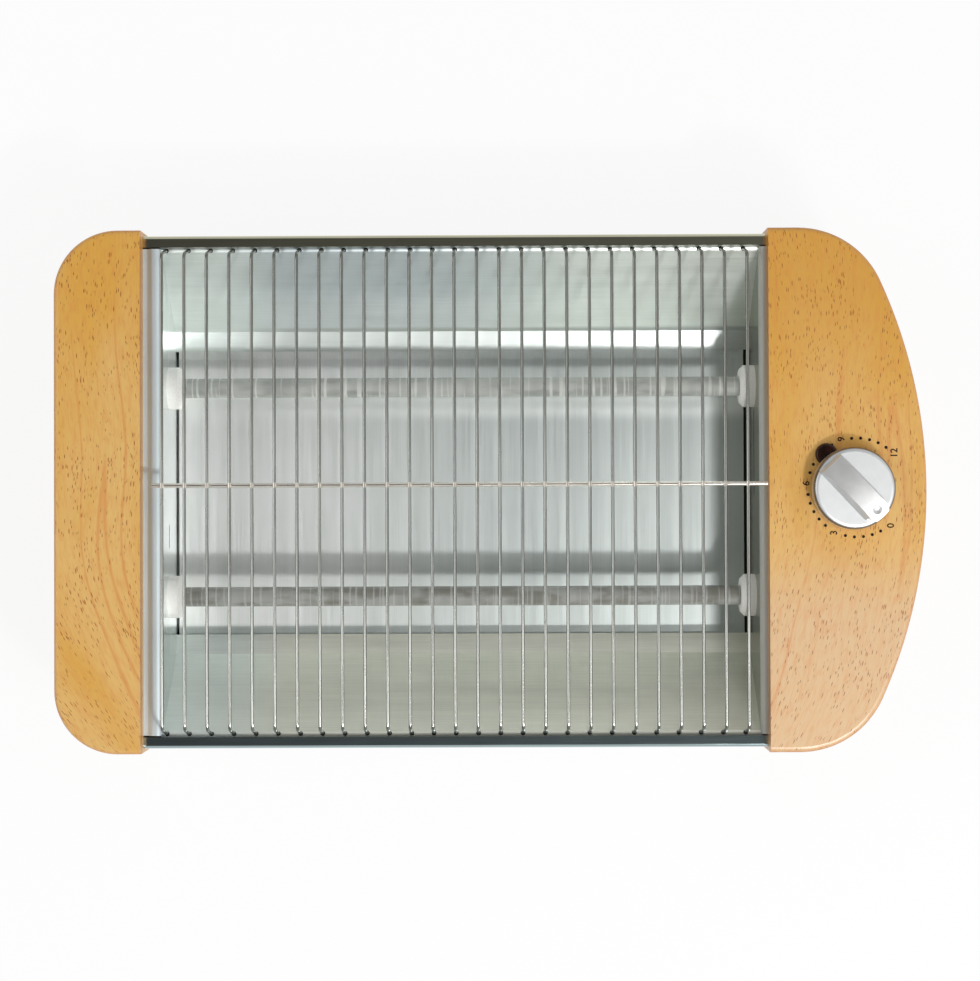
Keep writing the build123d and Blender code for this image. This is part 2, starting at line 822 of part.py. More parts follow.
def timer_bell():
    """Domed gong under the timer, open towards the table."""
    centre = (knob_x, knob_y + bell_screw_offset)
    top = lid_bottom - bell_drop
    mouth = top - bell_height
    bell = rod_z(bell_radius, *centre, mouth, top)
    bell = fillet(bell.edges().sort_by(Axis.Z)[-1:], bell_height / 2)
    inner = rod_z(bell_radius - bell_sheet, *centre, mouth, top - bell_sheet)
    inner = fillet(inner.edges().sort_by(Axis.Z)[-1:], bell_height / 2 - bell_sheet)
    return bell - inner - rod_z(bell_screw_radius + fit, *centre, top - bell_sheet, top)


def bell_screw():
    """Post screw that carries the gong below the timer's lid."""
    centre = (knob_x, knob_y + bell_screw_offset)
    seat = lid_bottom - bell_drop - bell_sheet
    screw = rod_z(bell_screw_radius, *centre, seat, timer_bottom)
    screw += rod_z(bell_collar_radius, *centre, seat + bell_sheet, lid_bottom)
    return screw + rod_z(bell_collar_radius, *centre, seat - bell_screw_head, seat)


def tab_places():
    """Centres of the timer's two terminal tabs."""
    y = knob_y - timer_size / 2 + tab_inset
    return [(knob_x - tab_spacing / 2, y), (knob_x + tab_spacing / 2, y)]


def terminal_tab(x, y, z0, z1):
    """A flat upright tab."""
    width = (x - tab_width / 2, x + tab_width / 2)
    return box(*width, y - tab_sheet / 2, y + tab_sheet / 2, z0, z1)


def timer_terminals():
    """Two flat tabs through the lid, up to the height of the cam."""
    bottom = lid_bottom - tab_length
    return [terminal_tab(x, y, bottom, timer_bottom + cam_height) for x, y in tab_places()]


def timer_knob():
    """Round knob with a raised grip bar that points to the dial."""
    disc = rod_z(knob_radius, 0, 0, 0, knob_disc_height)
    knob = fillet(disc.edges().sort_by(Axis.Z)[-1:], knob_edge_radius)
    cavity = rod_z(knob_radius - knob_wall, 0, 0, 0, knob_cavity_depth)
    knob -= cavity - rod_z(knob_hub_radius, 0, 0, 0, knob_cavity_depth)
    knob += Rot(0, 0, bar_angle) * grip_bar()
    bore = rod_z(shaft_radius + fit, 0, 0, 0, knob_disc_height - socket_roof + fit)
    bore -= box(-knob_radius, knob_radius, shaft_flat + fit, knob_radius, 0, knob_disc_height)
    knob -= bore
    return Pos(knob_x, knob_y, knob_bottom) * knob


def wedge(foot, head):
    """Section of the metal taken off outside the slope from foot to head."""
    far = foot[0] - knob_radius
    outline = Polyline(foot, head, (far, head[1]), (far, foot[1]), close=True)
    return make_face(outline.edges())


def grip_bar():
    """The bar along +X: arched on top, sloped along its left side and at its tail."""
    half = bar_width / 2
    base = knob_disc_height - knob_edge_radius
    top = knob_disc_height + bar_height
    slab = box(-bar_tail, bar_tip, -half - bar_left_slope, half + bar_right_slope, base, top)
    tip = rod_z(half + bar_right_slope, bar_tip, 0, base, top)
    bar = slab + tip
    bar &= rod_z(knob_radius - bar_end_inset, 0, 0, base, top)
    arch_z = top - bar_arch_radius
    bar &= rod_y(bar_arch_radius, bar_arch_centre, arch_z, -knob_radius, knob_radius)
    left = -half - bar_left_slope
    bar -= along_x(wedge((left, knob_disc_height), (-half, top)), -knob_radius, bar_tip)
    bar -= along_y(wedge((-bar_tail, knob_disc_height), (-bar_tail + bar_tail_slope, top)), knob_radius)
    crown = math.sqrt(bar_arch_radius ** 2 - (bar_tip - bar_arch_centre) ** 2) + arch_z
    ball_radius = (dimple_radius ** 2 + dimple_depth ** 2) / (2 * dimple_depth)
    return bar - Pos(bar_tip, 0, crown - dimple_depth + ball_radius) * Sphere(ball_radius)


# ------------------------------------------------------------------ pilot lamp

def pilot_lens():
    """Domed lens on the block's top, with a hollow stem through the wood."""
    x = knob_x + lamp_from_knob_x
    y = knob_y + lamp_from_knob_y
    lens = rod_z(lens_radius, x, y, wood_top, wood_top + lens_rise)
    lens = fillet(lens.edges().sort_by(Axis.Z)[-1:], lens_crown_radius)
    lens += rod_z(lens_stem_radius, x, y, wood_top - lens_stem_length, wood_top)
    return lens - rod_z(lens_stem_radius - lens_wall, x, y, wood_top - lens_stem_length, wood_top - lens_wall)


def neon_bulb():
    """Small glow lamp pushed up into the lens."""
    x = knob_x + lamp_from_knob_x
    y = knob_y + lamp_from_knob_y
    top = wood_top - lens_wall - fit
    bulb = rod_z(neon_radius, x, y, top - neon_length, top)
    return fillet(bulb.edges().sort_by(Axis.Z)[-1:], neon_tip_radius)


# ------------------------------------------------------------------ cord inlet and wiring

def cord_gland():
    """Grommet in the right block's back face, bored for a supply cord."""
    back = half_depth
    gland = rod_y(gland_radius, gland_x, gland_height, back - gland_length, back)
    gland += rod_y(gland_flange_radius, gland_x, gland_height, back - gland_flange, back)
    return gland - rod_y(cord_bore_radius, gland_x, gland_height, back - gland_length, back)


def clamp_screw_places():
    return [(gland_x - clamp_screw_spacing / 2, clamp_y), (gland_x + clamp_screw_spacing / 2, clamp_y)]


def clamp_screw_holes():
    hole = clamp_screw_radius + fit
    return [rod_z(hole, x, y, foot_height, gland_height) for x, y in clamp_screw_places()]


def cord_clamp():
    """Saddle on the right cover that would grip the supply cord, in line with the gland."""
    half = clamp_width / 2
    y0 = clamp_y - clamp_depth / 2
    y1 = clamp_y + clamp_depth / 2
    top = gland_height + cord_bore_radius + clamp_strap
    clamp = box(gland_x - half, gland_x + half, y0, y1, block_bottom, top)
    clamp -= rod_y(cord_bore_radius, gland_x, gland_height, y0, y1)
    return clamp - clamp_screw_holes()


def terminal_places():
    """X of the terminal block's two ways."""
    x = x_right + terminal_from_inner_face
    return [x - terminal_pitch / 2, x + terminal_pitch / 2]


def terminal_block():
    """Two-way terminal block standing on the right cover."""
    x = x_right + terminal_from_inner_face
    half = terminal_length / 2
    y0 = terminal_y - terminal_depth / 2
    y1 = terminal_y + terminal_depth / 2
    block = box(x - half, x + half, y0, y1, block_bottom, block_bottom + terminal_height)
    for way in terminal_places():
        block -= rod_y(terminal_bore_radius, way, terminal_z(), y0, y1)
        block -= rod_z(terminal_bore_radius, way, terminal_y, terminal_z(), block_bottom + terminal_height)
    return block


def terminal_z():
    """Height of the terminal block's cable holes."""
    return block_bottom + terminal_height / 2


def terminal_screws():
    """Clamping screws of the terminal block."""
    top = block_bottom + terminal_height
    length = terminal_height / 2 - lead_radius - fit
    return [rod_z(terminal_bore_radius - fit, x, terminal_y, top - length, top) for x in terminal_places()]


def lead(points):
    """A round insulated wire through the points."""
    path = FilletPolyline(*points, radius=lead_bend_radius)
    start = Plane(origin=path @ 0, z_dir=path % 0)
    return sweep(start * Circle(lead_radius), path=path)


def wiring_leads():
    """Back heater to terminal block, front heater to timer, and timer to terminal block."""
    near, far = terminal_places()
    way_z = terminal_z()
    way_y = terminal_y - terminal_depth / 2 + lead_grip
    (tab_left, tab_y), (tab_right, _) = tab_places()
    tab_front = tab_y - tab_sheet / 2 - lead_radius
    tab_middle = lid_bottom - tab_length / 2
    low = lid_bottom - tab_length - 2 * lead_bend_radius
    lowest = block_bottom + lead_radius + fit
    pin_x = right_pin_end - lead_radius
    back_heater = [
        (pin_x, tube_half_spacing, tube_z - pin_radius),
        (pin_x, tube_half_spacing, way_z + lead_rise),
        (near, way_y - 2 * lead_approach, way_z),
        (near, way_y, way_z),
    ]
    front_heater = [
        (pin_x, -tube_half_spacing, tube_z - pin_radius),
        (pin_x, -tube_half_spacing, low + lead_rise),
        (tab_left, tab_front - lead_approach, low),
        (tab_left, tab_front, low),
        (tab_left, tab_front, tab_middle),
    ]
    timer_out = [
        (tab_right, tab_front, tab_middle),
        (tab_right, tab_front, lowest),
        (tab_right + lead_approach, tab_front, lowest),
        (tab_right + lead_approach, way_y - 2 * lead_approach, way_z),
        (far, way_y - lead_approach, way_z),
        (far, way_y, way_z),
    ]
    return [lead(points) for points in (back_heater, front_heater, timer_out)]


# ------------------------------------------------------------------ covers, feet and fasteners

def pocket_cover(outline, side):
    """Steel cover under one block, drilled for its screws and feet."""
    plan = offset(outline, amount=-cover_inset)
    cover = extrude(Pos(0, 0, foot_height) * plan, amount=cover_sheet, dir=(0, 0, 1))
    for x, y in cover_screw_places(side):
        cover -= rod_z(cover_screw_radius + fit, x, y, foot_height, block_bottom)
    for x, y in foot_places().values():
        cover -= rod_z(foot_screw_radius + fit, x, y, foot_height, block_bottom)
    return cover


def rubber_foot(x, y):
    foot = rod_z(foot_radius, x, y, 0, foot_height)
    foot = fillet(foot.edges().sort_by(Axis.Z)[:1], foot_edge_radius)
    foot -= rod_z(foot_recess_radius, x, y, 0, foot_recess_depth)
    return foot - rod_z(foot_screw_radius + fit, x, y, foot_recess_depth, foot_height)


def foot_screws():
    screws = []
    head_bottom = foot_recess_depth - foot_screw_head
    for x, y in foot_places().values():
        screw = rod_z(foot_screw_head_radius, x, y, head_bottom, foot_recess_depth)
        tip = foot_recess_depth + foot_screw_length
        screws.append(screw + rod_z(foot_screw_radius, x, y, foot_recess_depth, tip))
    return screws


def cover_screws():
    screws = []
    for side in (-1, 1):
        for x, y in cover_screw_places(side):
            head = rod_z(cover_screw_head_radius, x, y, foot_height - cover_screw_head, foot_height)
            tip = foot_height + cover_screw_length
            screws.append(head + rod_z(cover_screw_radius, x, y, foot_height, tip))
    return screws


def block_screws():
    """Wood screws from inside the trough through the end plates into the blocks."""
    screws = []
    for side, wall in ((-1, x_wall_left), (1, x_wall_right)):
        for y, z, _ in block_screw_places():
            head = rod_x(block_screw_head_radius, y, z, wall - side * block_screw_head, wall)
            shank = rod_x(block_screw_radius, y, z, wall, wall + side * block_screw_length)
            screws.append(head + shank)
    return screws


def spacer_sleeves():
    """Sleeves around the wood screws, between the end plates and the blocks."""
    sleeves = []
    for side, wall, face in ((-1, x_wall_left, x_left), (1, x_wall_right, x_right)):
        for y, z, low in block_screw_places():
            start = wall + side * sheet * (2 if low else 1)
            sleeve = rod_x(spacer_radius, y, z, start, face)
            sleeves.append(sleeve - rod_x(block_screw_radius + fit, y, z, start, face))
    return sleeves


def skirt_screws():
    """Low-headed screws through the skirts into the end plates' side flanges."""
    screws = []
    for side in (-1, 1):
        for x, z in skirt_screw_places():
            head_end = side * (skirt_y + skirt_screw_head)
            head = rod_y(skirt_screw_head_radius, x, z, side * skirt_y, head_end)
            tip = side * (skirt_y - skirt_screw_length)
            screws.append(head + rod_y(skirt_screw_radius, x, z, tip, side * skirt_y))
    return screws


def pan_screws():
    screws = []
    for x, y in pan_screw_places():
        head = rod_z(pan_screw_head_radius, x, y, pan_bottom - pan_screw_head, pan_bottom)
        screws.append(head + rod_z(pan_screw_radius, x, y, pan_bottom, pan_bottom + pan_screw_length))
    return screws


def clamp_screws():
    """Screws from the cover up into the cord clamp."""
    screws = []
    for x, y in clamp_screw_places():
        head = rod_z(cover_screw_head_radius, x, y, foot_height - cover_screw_head, foot_height)
        screws.append(head + rod_z(clamp_screw_radius, x, y, foot_height, gland_height))
    return screws


def save(name, shape):
    """Writes one sub-part, as a group when it is several solids."""
    if isinstance(shape, (list, ShapeList)):
        shape = Compound(children=list(shape))
    shape.label = name
    export_step(shape, f"parts/{name}.step")


save("left_end_block", left_end_block())
save("right_end_block", right_end_block())
save("front_skirt", front_skirt())
save("back_skirt", back_skirt())
save("front_reflector", front_of(reflector()))
save("back_reflector", reflector())
save("left_end_plate", left_end_plate())
save("right_end_plate", right_end_plate())
save("bottom_pan", bottom_pan())
save("crumb_tray", crumb_tray())
save("toast_rack", toast_rack())
for row, y in zip(("front", "back"), tube_rows):
    save(f"{row}_quartz_tube", quartz_tube(y))
    save(f"{row}_heating_coil", heating_coil(y))
    for end in ("left", "right"):
        save(f"{row}_{end}_tube_holder", tube_holder(y, end))
save("holder_rings", holder_rings())
save("terminal_pins", terminal_pins())
save("link_strap", link_strap())
save("timer_case", timer_case())
save("timer_lid", timer_lid())
save("timer_shaft", timer_shaft())
save("timer_screws", timer_screws())
save("timer_standoffs", timer_standoffs())
save("timer_bell", timer_bell())
save("bell_screw", bell_screw())
save("timer_terminals", timer_terminals())
save("timer_knob", timer_knob())
save("pilot_lens", pilot_lens())
save("neon_bulb", neon_bulb())
save("cord_gland", cord_gland())
save("cord_clamp", cord_clamp())
save("terminal_block", terminal_block())
save("terminal_screws", terminal_screws())
save("wiring_leads", wiring_leads())
save("left_bottom_cover", pocket_cover(left_outline(), -1))
save("right_bottom_cover", pocket_cover(right_outline(), 1) - clamp_screw_holes())
for name, (x, y) in foot_places().items():
    save(name, rubber_foot(x, y))
save("foot_screws", foot_screws())
save("cover_screws", cover_screws())
save("block_screws", block_screws())
save("spacer_sleeves", spacer_sleeves())
save("skirt_screws", skirt_screws())
save("pan_screws", pan_screws())
save("clamp_screws", clamp_screws())
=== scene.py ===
# %% [markdown]
# # A flat quartz toaster, dressed and lit
#
# The toaster's hard parts, from the beech blocks to the last screw, come in as a fixed frame in metres.
# This lesson gives each of them a finish, adds the small pieces that only the eye needs, and sets up a
# camera, a floor and four lamps. Nothing in the frame is moved, so the knob and the crumb tray still work.

# %% Load the frame
import json
import math

import bpy
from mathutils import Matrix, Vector


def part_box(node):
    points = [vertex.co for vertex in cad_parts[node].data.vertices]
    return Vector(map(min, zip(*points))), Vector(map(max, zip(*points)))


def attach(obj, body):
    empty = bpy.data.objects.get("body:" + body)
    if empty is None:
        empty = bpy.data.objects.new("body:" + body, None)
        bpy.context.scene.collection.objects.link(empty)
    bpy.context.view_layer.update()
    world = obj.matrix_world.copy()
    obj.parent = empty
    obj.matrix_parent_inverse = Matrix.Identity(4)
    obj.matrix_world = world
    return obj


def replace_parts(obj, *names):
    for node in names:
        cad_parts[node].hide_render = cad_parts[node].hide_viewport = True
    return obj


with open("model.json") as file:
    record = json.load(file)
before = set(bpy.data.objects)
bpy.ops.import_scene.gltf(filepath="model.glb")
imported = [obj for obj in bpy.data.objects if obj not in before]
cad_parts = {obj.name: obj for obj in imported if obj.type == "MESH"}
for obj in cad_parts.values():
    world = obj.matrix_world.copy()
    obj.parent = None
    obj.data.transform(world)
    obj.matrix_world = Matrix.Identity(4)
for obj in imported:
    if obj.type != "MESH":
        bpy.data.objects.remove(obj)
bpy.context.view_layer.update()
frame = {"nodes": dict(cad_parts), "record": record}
nodes = frame["nodes"]
MM = 0.001

# %% [markdown]
# ## The camera
#
# A flat toaster shows its rack, its trough and its dial best from straight above. A studio would clamp the
# camera to a boom about 0.95 m over the table, a little off the middle, so the tilt is under one degree. A
# long lens keeps the end blocks from leaning outwards. Such a camera is placed by where it stands and how
# it is turned, and no lens shift is needed.

# %% Camera over the toaster
CAMERA_PLACE = (0.0047, -0.0108, 0.9562)
CAMERA_TURN = (0.70, 0.30, -0.22)
CAMERA_LENS = 75.7
SENSOR_WIDTH = 36.0


def selected_none():
    """Leaves nothing selected, so that the next operator acts on its own piece alone."""
    bpy.ops.object.select_all(action="DESELECT")


selected_none()
bpy.ops.object.camera_add(location=CAMERA_PLACE, rotation=[math.radians(a) for a in CAMERA_TURN])
camera = bpy.context.object
camera.name = "boom_camera"
camera.data.sensor_fit = "HORIZONTAL"
camera.data.sensor_width = SENSOR_WIDTH
camera.data.lens = CAMERA_LENS
bpy.context.scene.camera = camera
print("camera at", CAMERA_PLACE, "with a lens of", CAMERA_LENS, "mm")

# %% [markdown]
# ## Node trees as sums
#
# A finish is a node tree, and most of its nodes are arithmetic. Written out one by one they hide what they
# do, so one small class wraps a socket. Adding or multiplying two of them adds the Math node, and any other
# node comes from `node`, which takes the node's settings first and then what goes into its sockets.

# %% Sockets that add and multiply
class Link:
    """An output socket in a node tree, which Python's sums and products extend."""

    def __init__(self, tree, socket=None):
        self.tree = tree
        self.socket = socket

    def node(self, kind, settings=None, inputs=None, output=0):
        """Adds a node: its settings first, then the values or links of its sockets."""
        made = self.tree.nodes.new("ShaderNode" + kind)
        for name, value in (settings or {}).items():
            setattr(made, name, value)
        plug(made, inputs or {})
        return Link(self.tree, made.outputs[output])

    def output(self, name):
        """Another output of the same node, by name or by number."""
        return Link(self.tree, self.socket.node.outputs[name])

    def calc(self, operation, *terms):
        """Adds a Math node on links and numbers."""
        return self.node("Math", {"operation": operation}, dict(enumerate(terms)))

    def __add__(self, other):
        return self.calc("ADD", self, other)

    def __sub__(self, other):
        return self.calc("SUBTRACT", self, other)

    def __rsub__(self, other):
        return self.calc("SUBTRACT", other, self)

    def __mul__(self, other):
        return self.calc("MULTIPLY", self, other)

    def __pow__(self, power):
        return self.calc("POWER", self, power)

    def __abs__(self):
        return self.calc("ABSOLUTE", self)

    __radd__ = __add__
    __rmul__ = __mul__


def plug(node, inputs):
    """Gives sockets of a node their values or links, by name or by number."""
    for name, value in inputs.items():
        if isinstance(value, Link):
            value.tree.links.new(value.socket, node.inputs[name])
        else:
            node.inputs[name].default_value = value


print("a link knows + - * ** and abs")

# %% [markdown]
# Light and wood both change softly from one place to the next. Map Range does this in one node, and its
# smooth step has no kink at either end. When the first limit is above the second, it runs the other way.

# %% A smooth ramp
def ramp(value, low, high, start=0.0, end=1.0):
    """Moves smoothly from start to end while the value goes from low to high."""
    limits = {"Value": value, "From Min": low, "From Max": high, "To Min": start, "To Max": end}
    return value.node("MapRange", {"interpolation_type": "SMOOTHSTEP"}, limits)


print("a ramp takes a value and two limits")

# %% [markdown]
# ## Studio light
#
# Bare metal looks like whatever stands round it, so the room matters more than the lamps. Here the room is
# a soft gradient: a grey horizon, bright walls above it, windows on the right, and a dark ceiling with the
# camera's boom on it. The polished rails mirror that ceiling, the brushed tray mixes all of it, and the
# matt wood adds it up. The camera itself sees plain white instead, and so does a mirror that looks below
# the horizon, because the real table goes on there.

# %% The room
HORIZON_LIGHT = 0.45
WALL_LIGHT = 0.74
CEILING_LIGHT = 0.10
WINDOW_LIGHT = 0.18
WALLS_RISE = (0.1, 0.45)
CEILING_STARTS = (0.72, 0.95)
TABLE_ENDS = (0.08, 0.0)


def backdrop_rays(start, mirrored=1.0):
    """One for a ray from the camera, and `mirrored` for a ray from a mirror or through glass."""
    rays = start.node("LightPath")
    bounced = rays.output("Is Glossy Ray") + rays.output("Is Transmission Ray")
    return bounced.calc("MAXIMUM", bounced * mirrored, rays.output("Is Camera Ray"))


def light_the_room():
    """A world that is a gradient for the toaster and plain white for the camera."""
    world = bpy.data.worlds.new("pale_room")
    world.use_nodes = True
    bpy.context.scene.world = world
    start = Link(world.node_tree)
    towards = start.node("TexCoord", output="Generated")
    sides = start.node("SeparateXYZ", inputs={0: towards})
    height = sides.output("Z")
    windows = sides * WINDOW_LIGHT
    walls = ramp(height, *WALLS_RISE, HORIZON_LIGHT, WALL_LIGHT) + windows
    ceiling = ramp(height, *CEILING_STARTS, 0.0, WALL_LIGHT - CEILING_LIGHT)
    white = backdrop_rays(start, ramp(height, *TABLE_ENDS))
    room = (walls - ceiling) * (1.0 - white) + white
    plug(world.node_tree.nodes["Background"], {"Color": (1, 1, 1, 1), "Strength": room})


light_the_room()
bpy.context.scene.view_settings.view_transform = "Standard"
print("room: horizon", HORIZON_LIGHT, "walls", WALL_LIGHT, "ceiling", CEILING_LIGHT)

# %% [markdown]
# The key lamp stands in front and to the right. Its face is a low strip that lies more along the tubes than
# along the rack's wires, so the tubes throw crisp shadows on the tray, and those of the thin wires blur
# away. A glint lamp in the same place lights no matt surface and only shows in the metal, much as a white
# card held beside a lamp does. The sheen lamp gives the varnish its pale gloss, and a weak lamp on the left
# keeps that side open.

# %% Four lamps
KEY_PLACE = (0.51, -0.74, 1.13)
KEY_SIZE = (0.20, 0.07)
KEY_POWER = 5.6
GLINT_POWER = 9.5
SHEEN_PLACE = (0.60, -0.54, 1.16)
SHEEN_SIZE = (0.40, 0.40)
SHEEN_POWER = 3.4
FILL_PLACE = (-1.1, 0.1, 0.9)
FILL_SIZE = (0.9, 0.9)
FILL_POWER = 3.0


def softbox(name, place, size, power):
    """A lamp with a round or oval face that is turned to the middle of the toaster."""
    selected_none()
    aim = Vector(place).to_track_quat("Z", "Y").to_euler()
    bpy.ops.object.light_add(type="AREA", location=place, rotation=aim)
    lamp = bpy.context.object
    lamp.name = name
    lamp.data.shape = "ELLIPSE"
    lamp.data.size, lamp.data.size_y = size
    lamp.data.energy = power
    return lamp


softbox("key_lamp", KEY_PLACE, KEY_SIZE, KEY_POWER)
softbox("glint_lamp", KEY_PLACE, KEY_SIZE, GLINT_POWER).visible_diffuse = False
softbox("sheen_lamp", SHEEN_PLACE, SHEEN_SIZE, SHEEN_POWER)
softbox("left_lamp", FILL_PLACE, FILL_SIZE, FILL_POWER)
print("lamps:", [KEY_POWER, GLINT_POWER, SHEEN_POWER, FILL_POWER], "W")

# %% [markdown]
# ## The floor
#
# The toaster stands on a plain white sweep. For the camera, for mirrors and for glass it is mostly a
# white glow of strength 1, with a share of ordinary white paint that still shows the toaster's shadow.
# The glow takes over further out, so that the floor meets the white room without a seam. For the light
# that it throws back onto the toaster it is only the paint.

# %% White floor
FLOOR_WIDTH = 12.0
FLOOR_PAINT = (0.93, 0.93, 0.93, 1)
FLOOR_GLOW = (1, 1, 1, 1)
FLOOR_GLOW_SHARE = 0.88
SHADOW_REACH = (0.25, 1.0)


def floor_finish():
    """White paint that glows for the camera, and most of all far from the toaster."""
    paint = bpy.data.materials.new("white_sweep")
    paint.use_nodes = True
    tree = paint.node_tree
    tree.nodes.clear()
    start = Link(tree)
    place = start.node("TexCoord", output="Object")
    distance = place.node("VectorMath", {"operation": "LENGTH"}, {0: place}, "Value")
    seen = backdrop_rays(start) * ramp(distance, *SHADOW_REACH, FLOOR_GLOW_SHARE, 1.0)
    matt = start.node("BsdfDiffuse", inputs={"Color": FLOOR_PAINT})
    glow = start.node("Emission", inputs={"Color": FLOOR_GLOW, "Strength": 1.0})
    mixed = start.node("MixShader", inputs={0: seen, 1: matt, 2: glow})
    plug(tree.nodes.new("ShaderNodeOutputMaterial"), {"Surface": mixed})
    return paint


selected_none()
bpy.ops.mesh.primitive_plane_add(size=FLOOR_WIDTH, location=(0, 0, 0))
floor = bpy.context.object
floor.name = "floor"
floor.data.materials.append(floor_finish())
print("floor:", FLOOR_WIDTH, "m wide")

# %% [markdown]
# ## Finishes
#
# Every finish starts from one Principled shader. `new_finish` makes it and hands back a start link, and
# `pattern_place` gives the point on the piece in units of a pattern's own size, longer along one axis where
# the real surface was drawn, sanded or grown that way. Each finish then goes into `finishes` under the name
# of its material slot.

# %% Helpers for finishes
finishes = {}


def new_finish(name):
    """A material with one Principled shader, and the link that its nodes start from."""
    finish = bpy.data.materials.new(name + "_finish")
    finish.use_nodes = True
    tree = finish.node_tree
    return finish, tree.nodes["Principled BSDF"], Link(tree)


def pattern_place(start, sizes, warp=None):
    """Object coordinates in units of a pattern's size along X, Y and Z, which are in millimetres."""
    place = start.node("TexCoord", output="Object")
    if warp:
        place = start.node("VectorMath", {"operation": "ADD"}, {0: place, 1: warp})
    return start.node("Mapping", inputs={"Vector": place, "Scale": [1 / (size * MM) for size in sizes]})


def cloud(place, detail=2.0, roughness=0.5):
    """Soft noise around 0.5, with lumps about as large as the pattern's unit."""
    inputs = {"Vector": place, "Scale": 1.0, "Detail": detail, "Roughness": roughness}
    return place.node("TexNoise", {"noise_dimensions": "3D"}, inputs)


def raised(start, height, depth):
    """A normal from a height pattern, as deep as given in millimetres."""
    return start.node("Bump", inputs={"Height": height, "Distance": depth * MM, "Strength": 1.0})


print("patterns are measured in units of", MM, "m")

# %% [markdown]
# A few more helpers serve nearly every finish. `axis_of` tells how far a point lies along one axis, which
# turns a place on the toaster into a mask. `uneven` lets a pattern vary a roughness, because no real
# surface is equally smooth all over. `blend` mixes two colours. The Mix node has its own sockets for each
# kind of value, and those for colours are inputs 6 and 7 and output 2.

# %% Helpers for places and colours
MOST_OF_NOISE = (0.3, 0.7)
MIDDLE_OF_NOISE = (0.35, 0.65)


def axis_of(start, axis):
    """How far a point lies along X, Y or Z, which are 0, 1 and 2."""
    sides = start.node("SeparateXYZ", inputs={0: start.node("TexCoord", output="Object")})
    return sides.output(axis)


def uneven(pattern, roughness, by):
    """A roughness that a noise pattern makes a little smaller and larger."""
    return ramp(pattern, *MOST_OF_NOISE, roughness - by, roughness + by)


def blend(factor, first, second):
    """A colour between two colours."""
    return factor.node("Mix", {"data_type": "RGBA"}, {0: factor, 6: first, 7: second}, 2)


def rgb(red, green, blue):
    """A colour from the 0 to 255 numbers of a paint card, as the linear numbers that a shader takes."""
    shares = [part / 255 for part in (red, green, blue)]
    return (*[s / 12.92 if s <= 0.04045 else ((s + 0.055) / 1.055) ** 2.4 for s in shares], 1.0)


print("half grey on a paint card is", round(rgb(128, 128, 128)[0], 3), "in a shader")

# %% [markdown]
# ### Beech
#
# The blocks are steamed beech, routed and varnished with a satin lacquer. The grain runs from front to back
# and curls away at the front of each block. An image of real wood would repeat and would not follow the
# block round its edges, so noise in the wood's own volume is used, and one vector bends all the grain alike.

# %% Bent grain
LEFT_TO_RIGHT = (-100 * MM, 100 * MM)
CURL_START = 10 * MM
CURL_LENGTH = 190 * MM
CURL_ON_LEFT = 85 * MM
CURL_ON_RIGHT = -40 * MM
WANDER_SIZE = (150, 150, 150)
WANDER_WIDTH = 40 * MM


def grain_bend(start):
    """How far the grain lies from a straight line along Y: a slow wander, and a curl at the front."""
    forward = ramp(axis_of(start, 1), CURL_START, CURL_START - CURL_LENGTH)
    curl = forward ** 2.0 * ramp(axis_of(start, 0), *LEFT_TO_RIGHT, CURL_ON_LEFT, CURL_ON_RIGHT)
    wander = (cloud(pattern_place(start, WANDER_SIZE), 1.0) - 0.5) * WANDER_WIDTH
    return start.node("CombineXYZ", inputs={0: wander - curl})


print("the grain curls over", round(CURL_LENGTH / MM), "mm")

# %% [markdown]
# Beech is told from other woods by its short dark flecks, one to four millimetres long, which lie along the
# grain. They are cells of a Voronoi pattern that is five times longer along Y, and a slow noise picks which
# of them show, so that they come in crowds. Each cell's own colour makes some flecks smaller and darker.

# %% Flecks of the beech
FLECK_CELL = (0.62, 3.4, 0.62)
FLECK_REACH = (0.46, 0.26)
FLECK_REACH_VARIES = 0.20
FLECK_DEPTHS = (0.2, 0.9)
CROWD_SIZE = (12, 22, 12)
CROWD_WEIGHT = 2.2
CROWD_LIMITS = (1.52, 1.92)


def fleck_mask(start, bend):
    """One where a fleck is, in cells that are longer along the grain, and how dark each fleck is."""
    place = pattern_place(start, FLECK_CELL, bend)
    cells = place.node("TexVoronoi", inputs={"Vector": place, "Scale": 1.0, "Randomness": 1.0})
    chance = start.node("SeparateXYZ", inputs={0: cells.output("Color")})
    smaller = chance.output("Y")
    crowd = cloud(pattern_place(start, CROWD_SIZE), 1.0)
    chosen = ramp(chance + crowd * CROWD_WEIGHT, *CROWD_LIMITS)
    flecks = ramp(cells + smaller * FLECK_REACH_VARIES, *FLECK_REACH) * chosen
    return flecks, ramp(smaller, *FLECK_DEPTHS)


print("a fleck's cell is", FLECK_CELL, "mm")

# %% [markdown]
# The ground colour drifts from warm to pale in patches, and is painted paler towards the front, which is a
# painted sheen. The right block is painted pinker at the front, also a painted sheen, and is deeper at the
# back. The wood is darker just under the top, along the rounded edge.

# %% Ground colour, painted sheen and darker edge
BEECH_WARM = rgb(219, 165, 68)
BEECH_PALE = rgb(226, 183, 108)
# painted sheen: the pinker front of the right block
BEECH_PAINTED_SHEEN = rgb(220, 184, 137)
BEECH_DEEP = rgb(209, 152, 54)
DEEPEST = 0.75
PALE_PATCHES = (0.30, 0.72)
PAINTED_SHEEN_TO_THE_FRONT = 1.2
PAINTED_SHEEN_STARTS = (-5 * MM, -50 * MM)
PAINTED_SHEEN_WAVES = 20 * MM
DEEP_STARTS = (30 * MM, 110 * MM)
DEEP_WAVES = 30 * MM
EDGE_STARTS = (0.2 * MM, 1.5 * MM)
EDGE_ENDS = (3.2 * MM, 6.0 * MM)
EDGE_DARKNESS = (0.65, 0.12)


